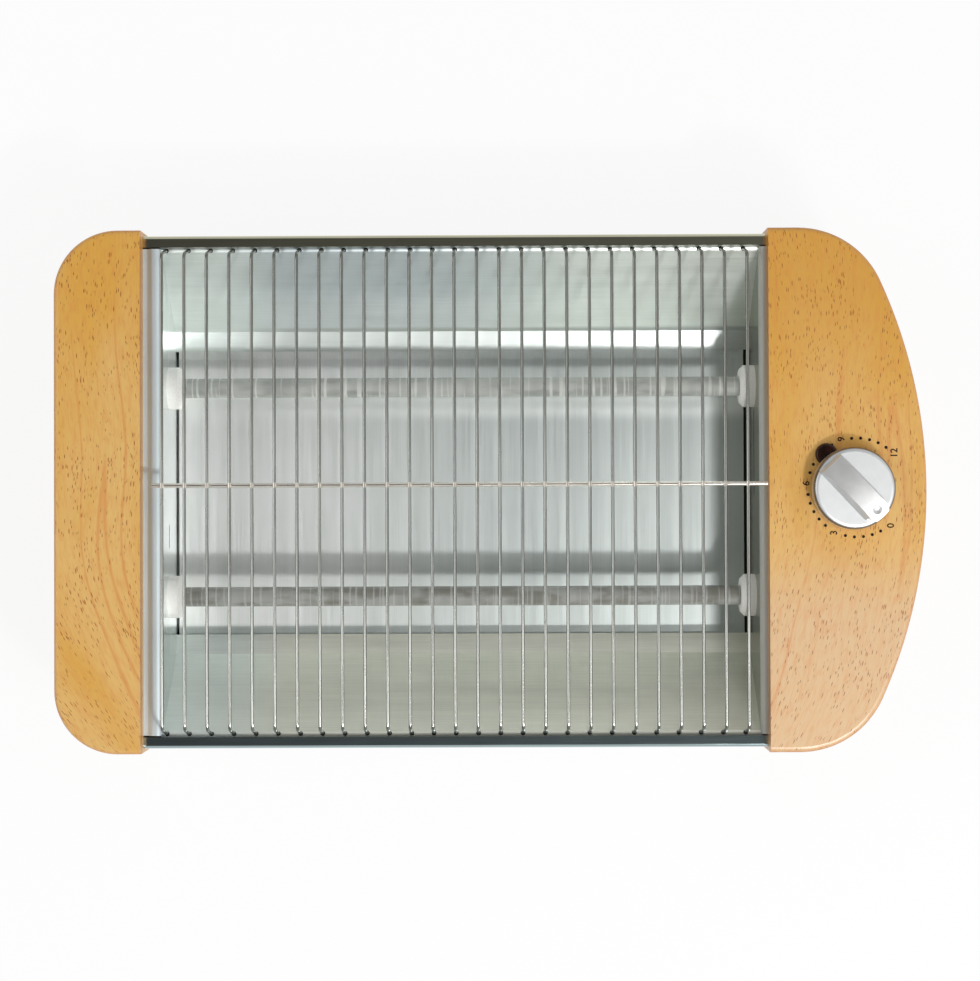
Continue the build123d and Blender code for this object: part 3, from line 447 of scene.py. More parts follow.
def beech_ground(start, patches):
    """Warm and pale wood with painted sheen at the front, pink on the right block, which is deeper at its
    back.
    """
    along = axis_of(start, 1)
    right = ramp(axis_of(start, 0), *LEFT_TO_RIGHT)
    # paler towards the front, and pinker at the right block's front, is a painted sheen over the wood's own
    # patches
    pale = ramp(patches - along * PAINTED_SHEEN_TO_THE_FRONT, *PALE_PATCHES)
    painted_sheen = ramp(along + patches * PAINTED_SHEEN_WAVES, *PAINTED_SHEEN_STARTS) * right
    deep = ramp(along + patches * DEEP_WAVES, *DEEP_STARTS) * right * DEEPEST
    ground = blend(painted_sheen, blend(pale, BEECH_WARM, BEECH_PALE), BEECH_PAINTED_SHEEN)
    return blend(deep, ground, BEECH_DEEP)


# a darker band just under the top, along the rounded edge
def darker_under_the_top(start):
    """Darkest two or three millimetres under the block's top, and faint below that."""
    below_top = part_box("right_end_block")[1].z - axis_of(start, 2)
    return ramp(below_top, *EDGE_STARTS) * ramp(below_top, *EDGE_ENDS, *EDGE_DARKNESS)


print("four beech tones from", [round(c, 2) for c in BEECH_WARM[:3]])

# %% [markdown]
# All of it meets in one finish. A noise stretched to a third of a metre lays the orange streaks of the year
# rings, and the finest one gives the fibres, which stand a little proud, while the flecks lie deeper. The
# lacquer is a thin coat that is nearly as dull as the wood under it.

# %% Beech finish
PATCH_SIZE = (30, 90, 40)
RING_SIZE = (16, 320, 30)
FIBRE_SIZE = (0.5, 7, 0.8)
MOTTLE_SIZE = (2.2, 7, 3)
BEECH_STREAK = rgb(210, 128, 58)
BEECH_FLECKS = (rgb(156, 82, 16), rgb(98, 38, 0))
BEECH_EDGE = rgb(188, 104, 34)
STREAK_WIDTH = 0.028
STREAK_STRENGTH = 0.5
STREAKED_PATCHES = (0.55, 0.75)
MOTTLE_LIMITS = (0.42, 0.68)
MOTTLE_STRENGTH = 0.42
FLECK_STRENGTH = 0.9


def beech_finish():
    """Varnished beech with its streaks, fibres, flecks, painted sheen and darker edge."""
    finish, shader, start = new_finish("beech")
    bend = grain_bend(start)
    patches = cloud(pattern_place(start, PATCH_SIZE, bend))
    rings = cloud(pattern_place(start, RING_SIZE, bend), 1.0)
    fibres = cloud(pattern_place(start, FIBRE_SIZE, bend), 3.0, 0.6)
    mottle = cloud(pattern_place(start, MOTTLE_SIZE, bend))
    flecks, depth = fleck_mask(start, bend)
    streak = ramp(abs(rings - 0.5), STREAK_WIDTH, 0.0) * ramp(patches + fibres * 0.3, *STREAKED_PATCHES)
    colour = blend(streak * STREAK_STRENGTH, beech_ground(start, patches), BEECH_STREAK)
    mottled = ramp(fibres * 0.6 + mottle * 0.4, *MOTTLE_LIMITS, 0.0, MOTTLE_STRENGTH)
    colour = blend(mottled, colour, BEECH_STREAK)
    colour = blend(flecks * FLECK_STRENGTH, colour, blend(depth, *BEECH_FLECKS))
    plug(shader, {
        "Base Color": blend(darker_under_the_top(start), colour, BEECH_EDGE),
        "Roughness": uneven(fibres, 0.43, 0.05),
        "Coat Weight": 0.35,
        "Coat Roughness": 0.35,
        "Normal": raised(start, fibres - flecks * 0.4, 0.02),
    })
    return finish


finishes["beech"] = beech_finish()
print("beech:", len(finishes["beech"].node_tree.nodes), "nodes")

# %% [markdown]
# ### Sheet steel
#
# All the sheets start as the same brushed coil, and differ in which way the brushing runs and how bright it
# was left. A brush draws lines a quarter of a millimetre wide and centimetres long, so one noise stretched
# along the brushing varies the roughness, the tone and the height, and a wider one adds the faint bands.
# Some stretches are painted lighter, darker or in another tone, most of them as painted light and shade, and
# each such change is written as the axis and the two places between which one tone goes over into the next.

# %% Brushed steel
HEAT_TINT_SIZE = (34, 22, 22)
BRUSHED_LIMITS = (0.34, 0.66)
ALONG_X = {"line": (30, 0.25, 0.25), "band": (120, 4, 4)}
ALONG_Y = {"line": (0.3, 40, 0.3), "band": (3, 160, 3)}


def two_tones(pattern, tone, contrast):
    """A tone made darker and lighter by a pattern."""
    dark = [part * (1 - contrast) for part in tone] + [1.0]
    light = [min(1.0, part * (1 + contrast)) for part in tone] + [1.0]
    return blend(pattern, dark, light)


def brushed_steel(name, tone, roughness, line, band, contrast=0.10, depth=0.004, waves=0.0, changes=()):
    """Steel brushed along the axis in which the lines are long. Each change is a stretch, which is an axis
    and the two places between which the tone changes, and the tone that it changes to."""
    finish, shader, start = new_finish(name)
    lines = cloud(pattern_place(start, line), 3.0, 0.65)
    bands = cloud(pattern_place(start, band))
    tint = cloud(pattern_place(start, HEAT_TINT_SIZE))
    pattern = ramp(lines * 0.6 + bands * 0.2 + tint * 0.2, *BRUSHED_LIMITS)
    colour = two_tones(pattern, tone, contrast)
    for (axis, first, last), next_tone in changes:
        changed = ramp(axis_of(start, axis), first, last)
        colour = blend(changed, colour, two_tones(pattern, next_tone, contrast))
    plug(shader, {
        "Base Color": colour,
        "Metallic": 1.0,
        "Roughness": uneven(lines * 0.7 + bands * 0.3, roughness, 0.04),
        "Normal": raised(start, lines + tint * waves, depth),
    })
    return finish


print("brushed lines are", ALONG_X["line"][1], "mm wide and", ALONG_X["line"][0], "mm long")

# %% [markdown]
# The rails are the folded tops of the two skirts, polished after folding. Thin sheet never stays quite
# flat, so a slow wave is added to their height. The back rail is tinted olive, the front one is painted
# bluish, a painted reflection, and the skirts are a plainer grey below the fold.

# %% Polished rails
skirt_low, skirt_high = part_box("front_skirt")
# painted reflection: the front rail's bluish tone
PAINTED_REFLECTION_TO_THE_FRONT_RAIL = (1, -20 * MM, -90 * MM)
DOWN_THE_SKIRT = (2, skirt_high.z - 2 * MM, skirt_high.z - 6 * MM)
BACK_RAIL_TONE = (0.62, 0.61, 0.46)
RAIL_CHANGES = (
    (PAINTED_REFLECTION_TO_THE_FRONT_RAIL, (0.46, 0.56, 0.57)),
    (DOWN_THE_SKIRT, (0.60, 0.61, 0.60)),
)
finishes["polished_steel"] = brushed_steel(
    "polished_steel", BACK_RAIL_TONE, 0.13, **ALONG_X, depth=0.001, waves=250, changes=RAIL_CHANGES
)
print("rails:", len(RAIL_CHANGES), "changes of tone")

# %% [markdown]
# The reflectors are the sloped walls of the trough, brushed along their length. The back one is darker near
# its top, and its foot by the back tube is painted darker, a painted shade that tames the lamp's glint on
# it.
# Both are painted brighter on the right, a painted highlight, and brighter again at the left end, painted
# light. The front one is painted lighter and warmer, which is painted light as well.

# %% Reflectors
UP_THE_WALL = (1, 82 * MM, 92 * MM)
# painted highlight: brighter towards the key lamp on the right
PAINTED_HIGHLIGHT_TO_THE_RIGHT = (0, -40 * MM, 70 * MM)
# painted shade: a darker foot, which tames the lamp's glint on it
PAINTED_SHADE_ON_THE_FOOT = (1, 75 * MM, 73.5 * MM)
# painted light: a lighter, warmer front wall
PAINTED_LIGHT_ON_THE_FRONT_WALL = (1, -40 * MM, -50 * MM)
# painted light: brighter at the left end
PAINTED_LIGHT_TO_THE_LEFT_END = (0, -85 * MM, -125 * MM)
REFLECTOR_TONE = (0.70, 0.75, 0.76)
REFLECTOR_CHANGES = (
    (UP_THE_WALL, (0.60, 0.665, 0.675)),
    (PAINTED_HIGHLIGHT_TO_THE_RIGHT, (0.84, 0.89, 0.84)),
    (PAINTED_SHADE_ON_THE_FOOT, (0.53, 0.565, 0.545)),
    (PAINTED_LIGHT_ON_THE_FRONT_WALL, (0.87, 0.88, 0.78)),
    (PAINTED_LIGHT_TO_THE_LEFT_END, (0.80, 0.86, 0.83)),
)
finishes["reflector_steel"] = brushed_steel(
    "reflector_steel", REFLECTOR_TONE, 0.45, **ALONG_X, contrast=0.06, changes=REFLECTOR_CHANGES
)
print("reflectors:", len(REFLECTOR_CHANGES), "changes of tone")

# %% [markdown]
# The crumb tray is brushed across, from front to back. It is painted brightest on the left and in a strip
# before the back tube, which is painted light, and darker in the dish at the front, a painted shadow. The
# pan under the tray is the same sheet, painted nearly black, a painted shade for the gaps beside the tray,
# and it shows from below or with the tray pulled out.

# %% Crumb tray and pan
# painted light: a bright strip before the back tube, which the next stretch ends
PAINTED_LIGHT_BEFORE_THE_BACK_TUBE = (1, 44 * MM, 42 * MM)
PAST_THE_BACK_TUBE = (1, 38 * MM, 31 * MM)
# painted light: brighter towards the left
PAINTED_LIGHT_TO_THE_LEFT = (0, 20 * MM, -135 * MM)
# painted shadow: darker in the dish at the front
PAINTED_SHADOW_IN_THE_DISH = (1, -59 * MM, -62 * MM)
ROUND_THE_LIP = (1, skirt_low.y + 2 * MM, skirt_low.y)
TRAY_TONE = (0.65, 0.70, 0.68)
TRAY_CHANGES = (
    (PAINTED_LIGHT_BEFORE_THE_BACK_TUBE, (0.90, 0.94, 0.92)),
    (PAST_THE_BACK_TUBE, TRAY_TONE),
    (PAINTED_LIGHT_TO_THE_LEFT, (0.97, 1.0, 0.96)),
    (PAINTED_SHADOW_IN_THE_DISH, (0.55, 0.60, 0.58)),
    (ROUND_THE_LIP, (0.55, 0.57, 0.56)),
)
finishes["tray_steel"] = brushed_steel(
    "tray_steel", TRAY_TONE, 0.48, **ALONG_Y, contrast=0.05, depth=0.022, changes=TRAY_CHANGES
)
# painted shade: a nearly black pan, so that the gaps beside the tray look dark
PAN_PAINTED_SHADE_TONE = (0.16, 0.16, 0.15)
finishes["pan_steel"] = brushed_steel("pan_steel", PAN_PAINTED_SHADE_TONE, 0.55, **ALONG_X)
print("tray:", len(TRAY_CHANGES), "changes of tone")

# %% [markdown]
# The end plates close the trough. Their rolled rims were left satin. The right plate is painted dark and
# olive, a painted shade, and the left one light, painted light. Where they fold under the tray they are
# painted black, a painted shade, so the narrow gap at each end of the tray looks black. One height tells
# that fold from the wall, and another one tells the rim.

# %% End plates
# painted shade: black where the plates fold under the tray
PAINTED_SHADE_UNDER_TRAY = 0.8 * MM
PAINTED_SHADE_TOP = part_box("crumb_tray")[1].z - PAINTED_SHADE_UNDER_TRAY
PAINTED_SHADE_TONE = (0.01, 0.01, 0.01, 1)
RIM_DEPTH = (5 * MM, 2 * MM)
# painted shade and light: the right plate dark and olive, the left one light
PLATE_WALLS_SHADED_AND_LIT = ((0.30, 0.30, 0.22), (0.72, 0.76, 0.75))
PLATE_RIMS_SHADED_AND_LIT = ((0.56, 0.57, 0.52), (0.64, 0.72, 0.75))
RIM_METALLIC = 0.2
RIM_DULLER = 0.25


def end_plate_finish():
    """Bright sheet whose rolled rim was left satin, painted dark on the right and black under the tray as
    shade.
    """
    finish, shader, start = new_finish("end_plate_steel")
    lines = cloud(pattern_place(start, ALONG_Y["line"]), 3.0, 0.65)
    tint = cloud(pattern_place(start, HEAT_TINT_SIZE))
    pattern = ramp(lines * 0.6 + tint * 0.4, *BRUSHED_LIMITS)
    height = axis_of(start, 2)
    rim_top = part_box("left_end_plate")[1].z
    rim = ramp(height, *[rim_top - depth for depth in RIM_DEPTH])
    leftward = 1.0 - ramp(axis_of(start, 0), *LEFT_TO_RIGHT)
    wall = blend(leftward, *[two_tones(pattern, tone, 0.08) for tone in PLATE_WALLS_SHADED_AND_LIT])
    rolled = blend(leftward, *[two_tones(pattern, tone, 0.06) for tone in PLATE_RIMS_SHADED_AND_LIT])
    painted_shade = ramp(height, PAINTED_SHADE_TOP, PAINTED_SHADE_TOP - MM)
    plug(shader, {
        "Base Color": blend(painted_shade, blend(rim, wall, rolled), PAINTED_SHADE_TONE),
        "Metallic": ramp(rim, 0.0, 1.0, 1.0, RIM_METALLIC),
        "Roughness": uneven(lines, 0.24, 0.04) + rim * RIM_DULLER,
        "Normal": raised(start, lines, 0.002),
    })
    return finish


finishes["end_plate_steel"] = end_plate_finish()
print("end plates: painted_black up to", round(PAINTED_SHADE_TOP / MM, 1), "mm")

# %% [markdown]
# ### Wires, pins and screws
#
# The rack is spring wire. Heat stains it dark. Its top is painted bright over the upper fifth of a
# millimetre, most at the front, a painted highlight. The cross wire is painted light all over, which is a
# painted highlight too.

# %% Rack wire
CROSS_WIRE_Y = 2.6 * MM
CROSS_WIRE_REACH = (1.3 * MM, 1.0 * MM)
# painted highlight: the light tone of the cross wire
CROSS_WIRE_PAINTED_HIGHLIGHT = (0.76, 0.72, 0.65, 1)
# painted highlight along the wires' tops, brighter towards the front
PAINTED_HIGHLIGHT_DEPTH = 0.22 * MM
PAINTED_HIGHLIGHT_UNEVENLY = 0.02 * MM
STAIN_SIZE = (9, 30, 9)
STAINED_TONE = (0.17, 0.175, 0.155)
PAINTED_HIGHLIGHT_AT_THE_BACK = (0.37, 0.375, 0.35, 1)
PAINTED_HIGHLIGHT_IN_THE_MIDDLE = (0.57, 0.585, 0.56, 1)
PAINTED_HIGHLIGHT_AT_THE_FRONT = (0.92, 0.94, 0.88, 1)
BACK_TO_MIDDLE = (45 * MM, 10 * MM)
MIDDLE_TO_FRONT = (-35 * MM, -75 * MM)


def rack_wire_finish():
    """Spring wire, stained dark by heat, with a painted highlight along its top."""
    finish, shader, start = new_finish("rack_wire")
    clouds = cloud(pattern_place(start, STAIN_SIZE), 1.0, 0.4)
    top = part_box("toast_rack")[1].z
    painted_highlight = ramp(axis_of(start, 2) + clouds * PAINTED_HIGHLIGHT_UNEVENLY, top - PAINTED_HIGHLIGHT_DEPTH, top)
    along = axis_of(start, 1) - CROSS_WIRE_Y
    stain = two_tones(ramp(clouds, *MOST_OF_NOISE), STAINED_TONE, 0.08)
    bright = blend(ramp(along, *BACK_TO_MIDDLE), PAINTED_HIGHLIGHT_AT_THE_BACK, PAINTED_HIGHLIGHT_IN_THE_MIDDLE)
    bright = blend(ramp(along, *MIDDLE_TO_FRONT), bright, PAINTED_HIGHLIGHT_AT_THE_FRONT)
    cross = ramp(abs(along), *CROSS_WIRE_REACH)
    plug(shader, {
        "Base Color": blend(cross, blend(painted_highlight, stain, bright), CROSS_WIRE_PAINTED_HIGHLIGHT),
        "Metallic": 1.0,
        "Roughness": uneven(clouds, 0.25, 0.03),
        "Normal": raised(start, clouds, 0.002),
    })
    return finish


finishes["rack_wire"] = rack_wire_finish()
print("rack wire:", len(finishes["rack_wire"].node_tree.nodes), "nodes")

# %% [markdown]
# Plating and oxide look cloudy under a lamp, in specks of about a millimetre. The zinc-plated screws, the
# brass terminals and the heating wire share that look and differ in tone and roughness alone.

# %% Plated metals
SPECK_SIZE = (1.2, 1.2, 1.2)


def plated_metal(name, tone, roughness):
    """Metal with the cloudy shine of plating."""
    finish, shader, start = new_finish(name)
    clouds = cloud(pattern_place(start, SPECK_SIZE), 3.0, 0.6)
    plug(shader, {
        "Base Color": two_tones(ramp(clouds, *MOST_OF_NOISE), tone, 0.12),
        "Metallic": 1.0,
        "Roughness": uneven(clouds, roughness, 0.06),
        "Normal": raised(start, clouds, 0.004),
    })
    return finish


PLATED_METALS = {
    "resistance_wire": ((0.35, 0.33, 0.31), 0.45),
    "plated_steel": ((0.70, 0.70, 0.68), 0.28),
    "brass": ((0.80, 0.62, 0.28), 0.30),
}
finishes |= {name: plated_metal(name, *look) for name, look in PLATED_METALS.items()}
print("plated metals:", ", ".join(PLATED_METALS))

# %% [markdown]
# ### Quartz, ceramic and glass
#
# The heater's tubes are milky quartz, drawn with tiny bubbles that scatter the light, so they are partly
# see-through. Pale rings across them are a painted reflection of the rack's wires. The front tube is
# duller, because more crumbs and fat have burnt on it.

# %% Quartz tubes
# the third tone of each is the painted reflection in the rings
CLEAN_QUARTZ = ((0.46, 0.48, 0.45, 1), (0.62, 0.64, 0.60, 1), (0.80, 0.82, 0.77, 1))
BURNT_QUARTZ = ((0.30, 0.30, 0.26, 1), (0.48, 0.49, 0.46, 1), (0.64, 0.65, 0.61, 1))
BACK_TO_FRONT_TUBE = (20 * MM, -20 * MM)
MILK_SIZE = (18, 6, 6)
CLEAN_MILK = (0.38, 0.62)
BURNT_MILK = (0.38, 0.60)
REFLECTION_RING_SIZE = (1.5, 60, 60)
REFLECTION_RING_LIMITS = (0.56, 0.64)
BURNT_REFLECTION_RINGS = 0.6


def milky(milk, rings, tones):
    """A dark, a pale and a ring tone, mixed by two masks; the ring tone is a painted reflection."""
    dark, pale, ring = tones
    return blend(rings, blend(milk, dark, pale), ring)


def quartz_finish():
    """Milky glass with pale rings across the tube as a painted reflection, and burnt on the front tube."""
    finish, shader, start = new_finish("quartz")
    milk = cloud(pattern_place(start, MILK_SIZE), 3.0)
    rings = cloud(pattern_place(start, REFLECTION_RING_SIZE), 1.0)
    clean = milky(ramp(milk, *CLEAN_MILK), ramp(rings, *REFLECTION_RING_LIMITS), CLEAN_QUARTZ)
    burnt = milky(ramp(milk, *BURNT_MILK), ramp(rings, *REFLECTION_RING_LIMITS, 0.0, BURNT_REFLECTION_RINGS), BURNT_QUARTZ)
    plug(shader, {
        "Base Color": blend(ramp(axis_of(start, 1), *BACK_TO_FRONT_TUBE), clean, burnt),
        "Roughness": uneven(milk, 0.55, 0.05),
        "Specular IOR Level": 0.3,
        "Alpha": 0.66,
    })
    return finish


finishes["quartz"] = quartz_finish()
print("quartz:", len(finishes["quartz"].node_tree.nodes), "nodes")

# %% [markdown]
# The holders are plain white ceramic with a fine grain. The pilot lamp is a neon bulb behind a lens of dark
# red plastic, which looks almost black while the lamp is off.

# %% Ceramic, lens and bulb
CERAMIC_WHITES = (rgb(238, 236, 230), rgb(250, 249, 245))
LENS_REDS = ((0.014, 0.004, 0.002, 1), (0.040, 0.010, 0.005, 1))
NEON_PINKS = ((0.86, 0.70, 0.60, 1), (0.93, 0.80, 0.70, 1))
CERAMIC_GRAIN = (0.6, 0.6, 0.6)
LENS_CLOUD = (3, 3, 3)
GLASS_HAZE = (4, 4, 4)


def ceramic_finish():
    """Unglazed white ceramic."""
    finish, shader, start = new_finish("ceramic")
    grains = cloud(pattern_place(start, CERAMIC_GRAIN), 3.0)
    plug(shader, {
        "Base Color": blend(ramp(grains, *MOST_OF_NOISE), *CERAMIC_WHITES),
        "Roughness": uneven(grains, 0.575, 0.075),
        "Normal": raised(start, grains, 0.03),
    })
    return finish


def lamp_red_finish():
    """Dark red plastic, moulded smooth."""
    finish, shader, start = new_finish("lamp_red")
    depth = cloud(pattern_place(start, LENS_CLOUD))
    plug(shader, {
        "Base Color": blend(ramp(depth, *MIDDLE_OF_NOISE), *LENS_REDS),
        "Roughness": 0.25,
        "Specular IOR Level": 0.3,
    })
    return finish


def neon_glass_finish():
    """Thin clear glass over pale electrodes."""
    finish, shader, start = new_finish("neon_glass")
    haze = cloud(pattern_place(start, GLASS_HAZE))
    plug(shader, {
        "Base Color": blend(ramp(haze, *MOST_OF_NOISE), *NEON_PINKS),
        "Roughness": 0.08,
        "Alpha": 0.6,
    })
    return finish


finishes |= {"ceramic": ceramic_finish(), "lamp_red": lamp_red_finish(), "neon_glass": neon_glass_finish()}
print("finishes so far:", ", ".join(finishes))

# %% [markdown]
# ### The knob's turned face
#
# The knob is turned from aluminium on a lathe, which leaves fine rings round its axis. A noise that only
# knows the distance from the axis draws such rings. The groove just under the knob's face is painted dark, a
# painted shade, and the grip bar is a little brighter.

# %% Knob finish
GRIP_BAR_HEIGHT = 4.2 * MM
KNOB_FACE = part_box("timer_knob")[1].z - GRIP_BAR_HEIGHT
TURNED_RING = 0.12 * MM
TURNED_TONES = ((0.63, 0.64, 0.64, 1), (0.71, 0.72, 0.72, 1))
TURNED_CLOUDS = (6, 6, 6)
GRIP_BAR_RISE = (1 * MM, 2 * MM)
GRIP_BAR_TONE = (0.70, 0.70, 0.69)
# painted shade: the dark groove under the knob's face
GROOVE_PAINTED_SHADE = (0.22, 0.20, 0.18, 1)
GROOVE_STARTS = (0.1 * MM, 0.7 * MM)
GROOVE_ENDS = (2.4 * MM, 1.6 * MM)
GROOVE_SHINIER = 0.28


def middle_of(node):
    """The middle of a frame node's box."""
    low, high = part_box(node)
    return (low + high) / 2


def distance_from_knob_axis(start):
    """How far a point lies from the shaft's axis, whatever its height."""
    axis = middle_of("timer_shaft")
    place = start.node("TexCoord", output="Object")
    terms = {0: place, 1: (1, 1, 0), 2: (-axis.x, -axis.y, 0)}
    flat = start.node("VectorMath", {"operation": "MULTIPLY_ADD"}, terms)
    return flat.node("VectorMath", {"operation": "LENGTH"}, {0: flat}, "Value")


def knob_finish():
    """Turned aluminium with fine rings, a brighter grip bar and a groove painted dark as shade."""
    finish, shader, start = new_finish("knob_metal")
    rings = start.node("CombineXYZ", inputs={0: distance_from_knob_axis(start) * (1 / TURNED_RING)})
    lines = cloud(rings, 3.0, 0.7)
    soft = cloud(pattern_place(start, TURNED_CLOUDS))
    turned = blend(ramp(lines * 0.6 + soft * 0.4, *MOST_OF_NOISE), *TURNED_TONES)
    height = axis_of(start, 2)
    bar = ramp(height, *[KNOB_FACE + rise for rise in GRIP_BAR_RISE])
    turned = blend(bar, turned, two_tones(ramp(soft, *MOST_OF_NOISE), GRIP_BAR_TONE, 0.05))
    below_face = KNOB_FACE - height
    groove = ramp(below_face, *GROOVE_STARTS) * ramp(below_face, *GROOVE_ENDS)
    plug(shader, {
        "Base Color": blend(groove, turned, GROOVE_PAINTED_SHADE),
        "Metallic": 1.0,
        "Roughness": uneven(lines, 0.47, 0.05) - groove * GROOVE_SHINIER,
        "Normal": raised(start, lines, 0.003),
    })
    return finish


finishes["knob_metal"] = knob_finish()
print("knob:", len(finishes["knob_metal"].node_tree.nodes), "nodes")

# %% [markdown]
# ### Plastic, rubber and braid
#
# What is out of sight still gets a proper finish, because the toaster may be turned over or opened:
# moulded plastic with a fine spark texture, dull rubber and the glass braid on the leads.

# %% Plastic, rubber and braid finishes
WEAR_SIZE = (12, 12, 12)
MOULDED_CONTRAST = 0.15
WORN_PALER = 0.004


def moulded(name, tone, roughness, grain=0.35, depth=0.02):
    """A moulded surface with a fine grain, both grain and depth in millimetres."""
    finish, shader, start = new_finish(name)
    grains = cloud(pattern_place(start, (grain, grain, grain)), 3.0)
    wear = cloud(pattern_place(start, WEAR_SIZE))
    dark = [part * (1 - MOULDED_CONTRAST) for part in tone] + [1.0]
    light = [min(1.0, part * (1 + MOULDED_CONTRAST) + WORN_PALER) for part in tone] + [1.0]
    plug(shader, {
        "Base Color": blend(ramp(wear * 0.5 + grains * 0.5, *MIDDLE_OF_NOISE), dark, light),
        "Roughness": uneven(grains, roughness, 0.06),
        "Normal": raised(start, grains, depth),
    })
    return finish


MOULDED = {
    "black_plastic": ((0.035, 0.035, 0.035), 0.5),
    "white_plastic": ((0.82, 0.81, 0.77), 0.45),
    "rubber": ((0.04, 0.04, 0.04), 0.8, 0.8, 0.03),
    "lead_insulation": ((0.78, 0.76, 0.70), 0.75, 0.6, 0.12),
}
finishes |= {name: moulded(name, *look) for name, look in MOULDED.items()}
print("moulded finishes:", ", ".join(MOULDED))

# %% [markdown]
# ### Every frame node gets its finish
#
# The record names a material slot for each node, so one loop dresses them all.

# %% Dress the frame
for part in frame["record"]["subparts"]:
    for slot in nodes[part["node"]].material_slots:
        slot.material = finishes[part["material_slot"]]

# %% [markdown]
# ## Heating coils
#
# In the frame a coil is only the room that it fills. The real one is resistance wire wound on a mandrel, in
# over a hundred turns. Blender's Screw modifier winds it the same way: it turns a small circle of wire about
# the tube's axis and carries it along.

# %% Helpers for pieces
def settle():
    """Puts the active piece's place and turn into its mesh."""
    bpy.ops.object.transform_apply(location=True, rotation=True, scale=True)


def take(name, finish, body="toaster_body"):
    """Names the active piece, gives it one finish and lets it ride on a body of the toaster."""
    piece = bpy.context.object
    piece.name = name
    piece.data.name = name
    piece.data.materials.clear()
    piece.data.materials.append(finish)
    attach(piece, body)
    return piece


def tidy_faces():
    """Merges doubled points of the active piece and turns its faces outward."""
    bpy.ops.object.mode_set(mode="EDIT")
    bpy.ops.mesh.select_all(action="SELECT")
    bpy.ops.mesh.remove_doubles(threshold=0.001 * MM)
    bpy.ops.mesh.normals_make_consistent(inside=False)
    bpy.ops.object.mode_set(mode="OBJECT")


print("pieces settle at the origin and ride on the toaster's body")

# %% Two wound coils
COIL_WIRE_RADIUS = 0.32 * MM
COIL_WIRE_SIDES = 8
COIL_PITCH = 2.2 * MM
COIL_STEPS = 20


def close_ends():
    """Fills the two open rims of the active piece."""
    bpy.ops.object.mode_set(mode="EDIT")
    bpy.ops.mesh.select_all(action="DESELECT")
    bpy.ops.mesh.select_non_manifold()
    bpy.ops.mesh.edge_face_add()
    bpy.ops.object.mode_set(mode="OBJECT")


def wound_coil(node):
    """A helix of round wire in the room of a frame node, closed at both ends."""
    low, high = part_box(node)
    middle = middle_of(node)
    turns = int((high.x - low.x - 2 * COIL_WIRE_RADIUS) / COIL_PITCH)
    selected_none()
    bpy.ops.mesh.primitive_circle_add(vertices=COIL_WIRE_SIDES, radius=COIL_WIRE_RADIUS)
    coil = bpy.context.object
    bpy.ops.object.mode_set(mode="EDIT")
    bpy.ops.transform.translate(value=(0, (high.z - low.z) / 2 - COIL_WIRE_RADIUS, 0))
    bpy.ops.object.mode_set(mode="OBJECT")
    screw = coil.modifiers.new("winding", "SCREW")
    screw.axis = "X"
    screw.screw_offset = COIL_PITCH
    screw.iterations = turns
    screw.steps = COIL_STEPS
    screw.render_steps = COIL_STEPS
    bpy.ops.object.modifier_apply(modifier="winding")
    close_ends()
    tidy_faces()
    bpy.ops.object.shade_smooth()
    coil.location = (middle.x - turns * COIL_PITCH / 2, middle.y, middle.z)
    settle()
    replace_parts(take(node + "_wire", finishes["resistance_wire"]), node)
    return turns


coil_turns = [wound_coil(node) for node in ("back_heating_coil", "front_heating_coil")]
print("turns:", coil_turns)

# %% [markdown]
# ## Spot welds
#
# The rack is a grill of 27 wires, spot-welded on one cross wire. Each weld squeezes out a small bead of
# metal on both sides of the wire. What repeats like this is modelled once, as a flattened ball, and copied.
# Each copy gets its own mesh, so that its place can be put into it, and then they are joined.

# %% Helpers for copies
def copied(pattern, places):
    """Copies of one piece, which is then removed. A place is a point and a turn in degrees."""
    copies = []
    for point, turn in places:
        selected_none()
        pattern.select_set(True)
        bpy.context.view_layer.objects.active = pattern
        bpy.ops.object.duplicate(linked=False)
        copy = bpy.context.object
        copy.rotation_euler = [math.radians(angle) for angle in turn]
        copy.location = point
        settle()
        copies.append(copy)
    bpy.data.objects.remove(pattern)
    return copies


def joined(pieces):
    """Joins pieces into one, which keeps its own mesh at the origin."""
    selected_none()
    for piece in pieces:
        piece.select_set(True)
    bpy.context.view_layer.objects.active = pieces[0]
    bpy.ops.object.join()
    return bpy.context.object


UNTURNED = (0, 0, 0)
print("a piece can be copied to many places")

# %% Weld beads
RACK_WIRES = 27
RACK_PITCH = 9.65 * MM
FIRST_WIRE_FROM_WALL = 1.9 * MM
RACK_WIRE_RADIUS = 0.7 * MM
BEAD_BELOW_TOP = 1.75 * RACK_WIRE_RADIUS
BEAD_RADII = (1.0 * MM, 1.05 * MM, 0.40 * MM)


def weld_beads():
    """A bead where each wire of the rack crosses the cross wire."""
    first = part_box("back_reflector")[0].x + FIRST_WIRE_FROM_WALL
    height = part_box("toast_rack")[1].z - BEAD_BELOW_TOP
    selected_none()
    bpy.ops.mesh.primitive_ico_sphere_add(subdivisions=2, scale=BEAD_RADII)
    bpy.ops.object.shade_smooth()
    settle()
    places = [((first + index * RACK_PITCH, CROSS_WIRE_Y, height), UNTURNED) for index in range(RACK_WIRES)]
    joined(copied(bpy.context.object, places))
    return take("weld_beads", finishes["rack_wire"])


beads = weld_beads()
print("weld beads:", len(beads.data.polygons), "faces")

# %% [markdown]
# ## Screws with a cross recess
#
# The frame's screws are plain, so those that show from outside are replaced by ones with the cross that a
# driver fits. The head is a bevelled cylinder on a thinner shank, and a Boolean modifier punches each slot
# of the cross, as a header die does. A screw is made pointing up at the origin, then turned and moved to its
# place.

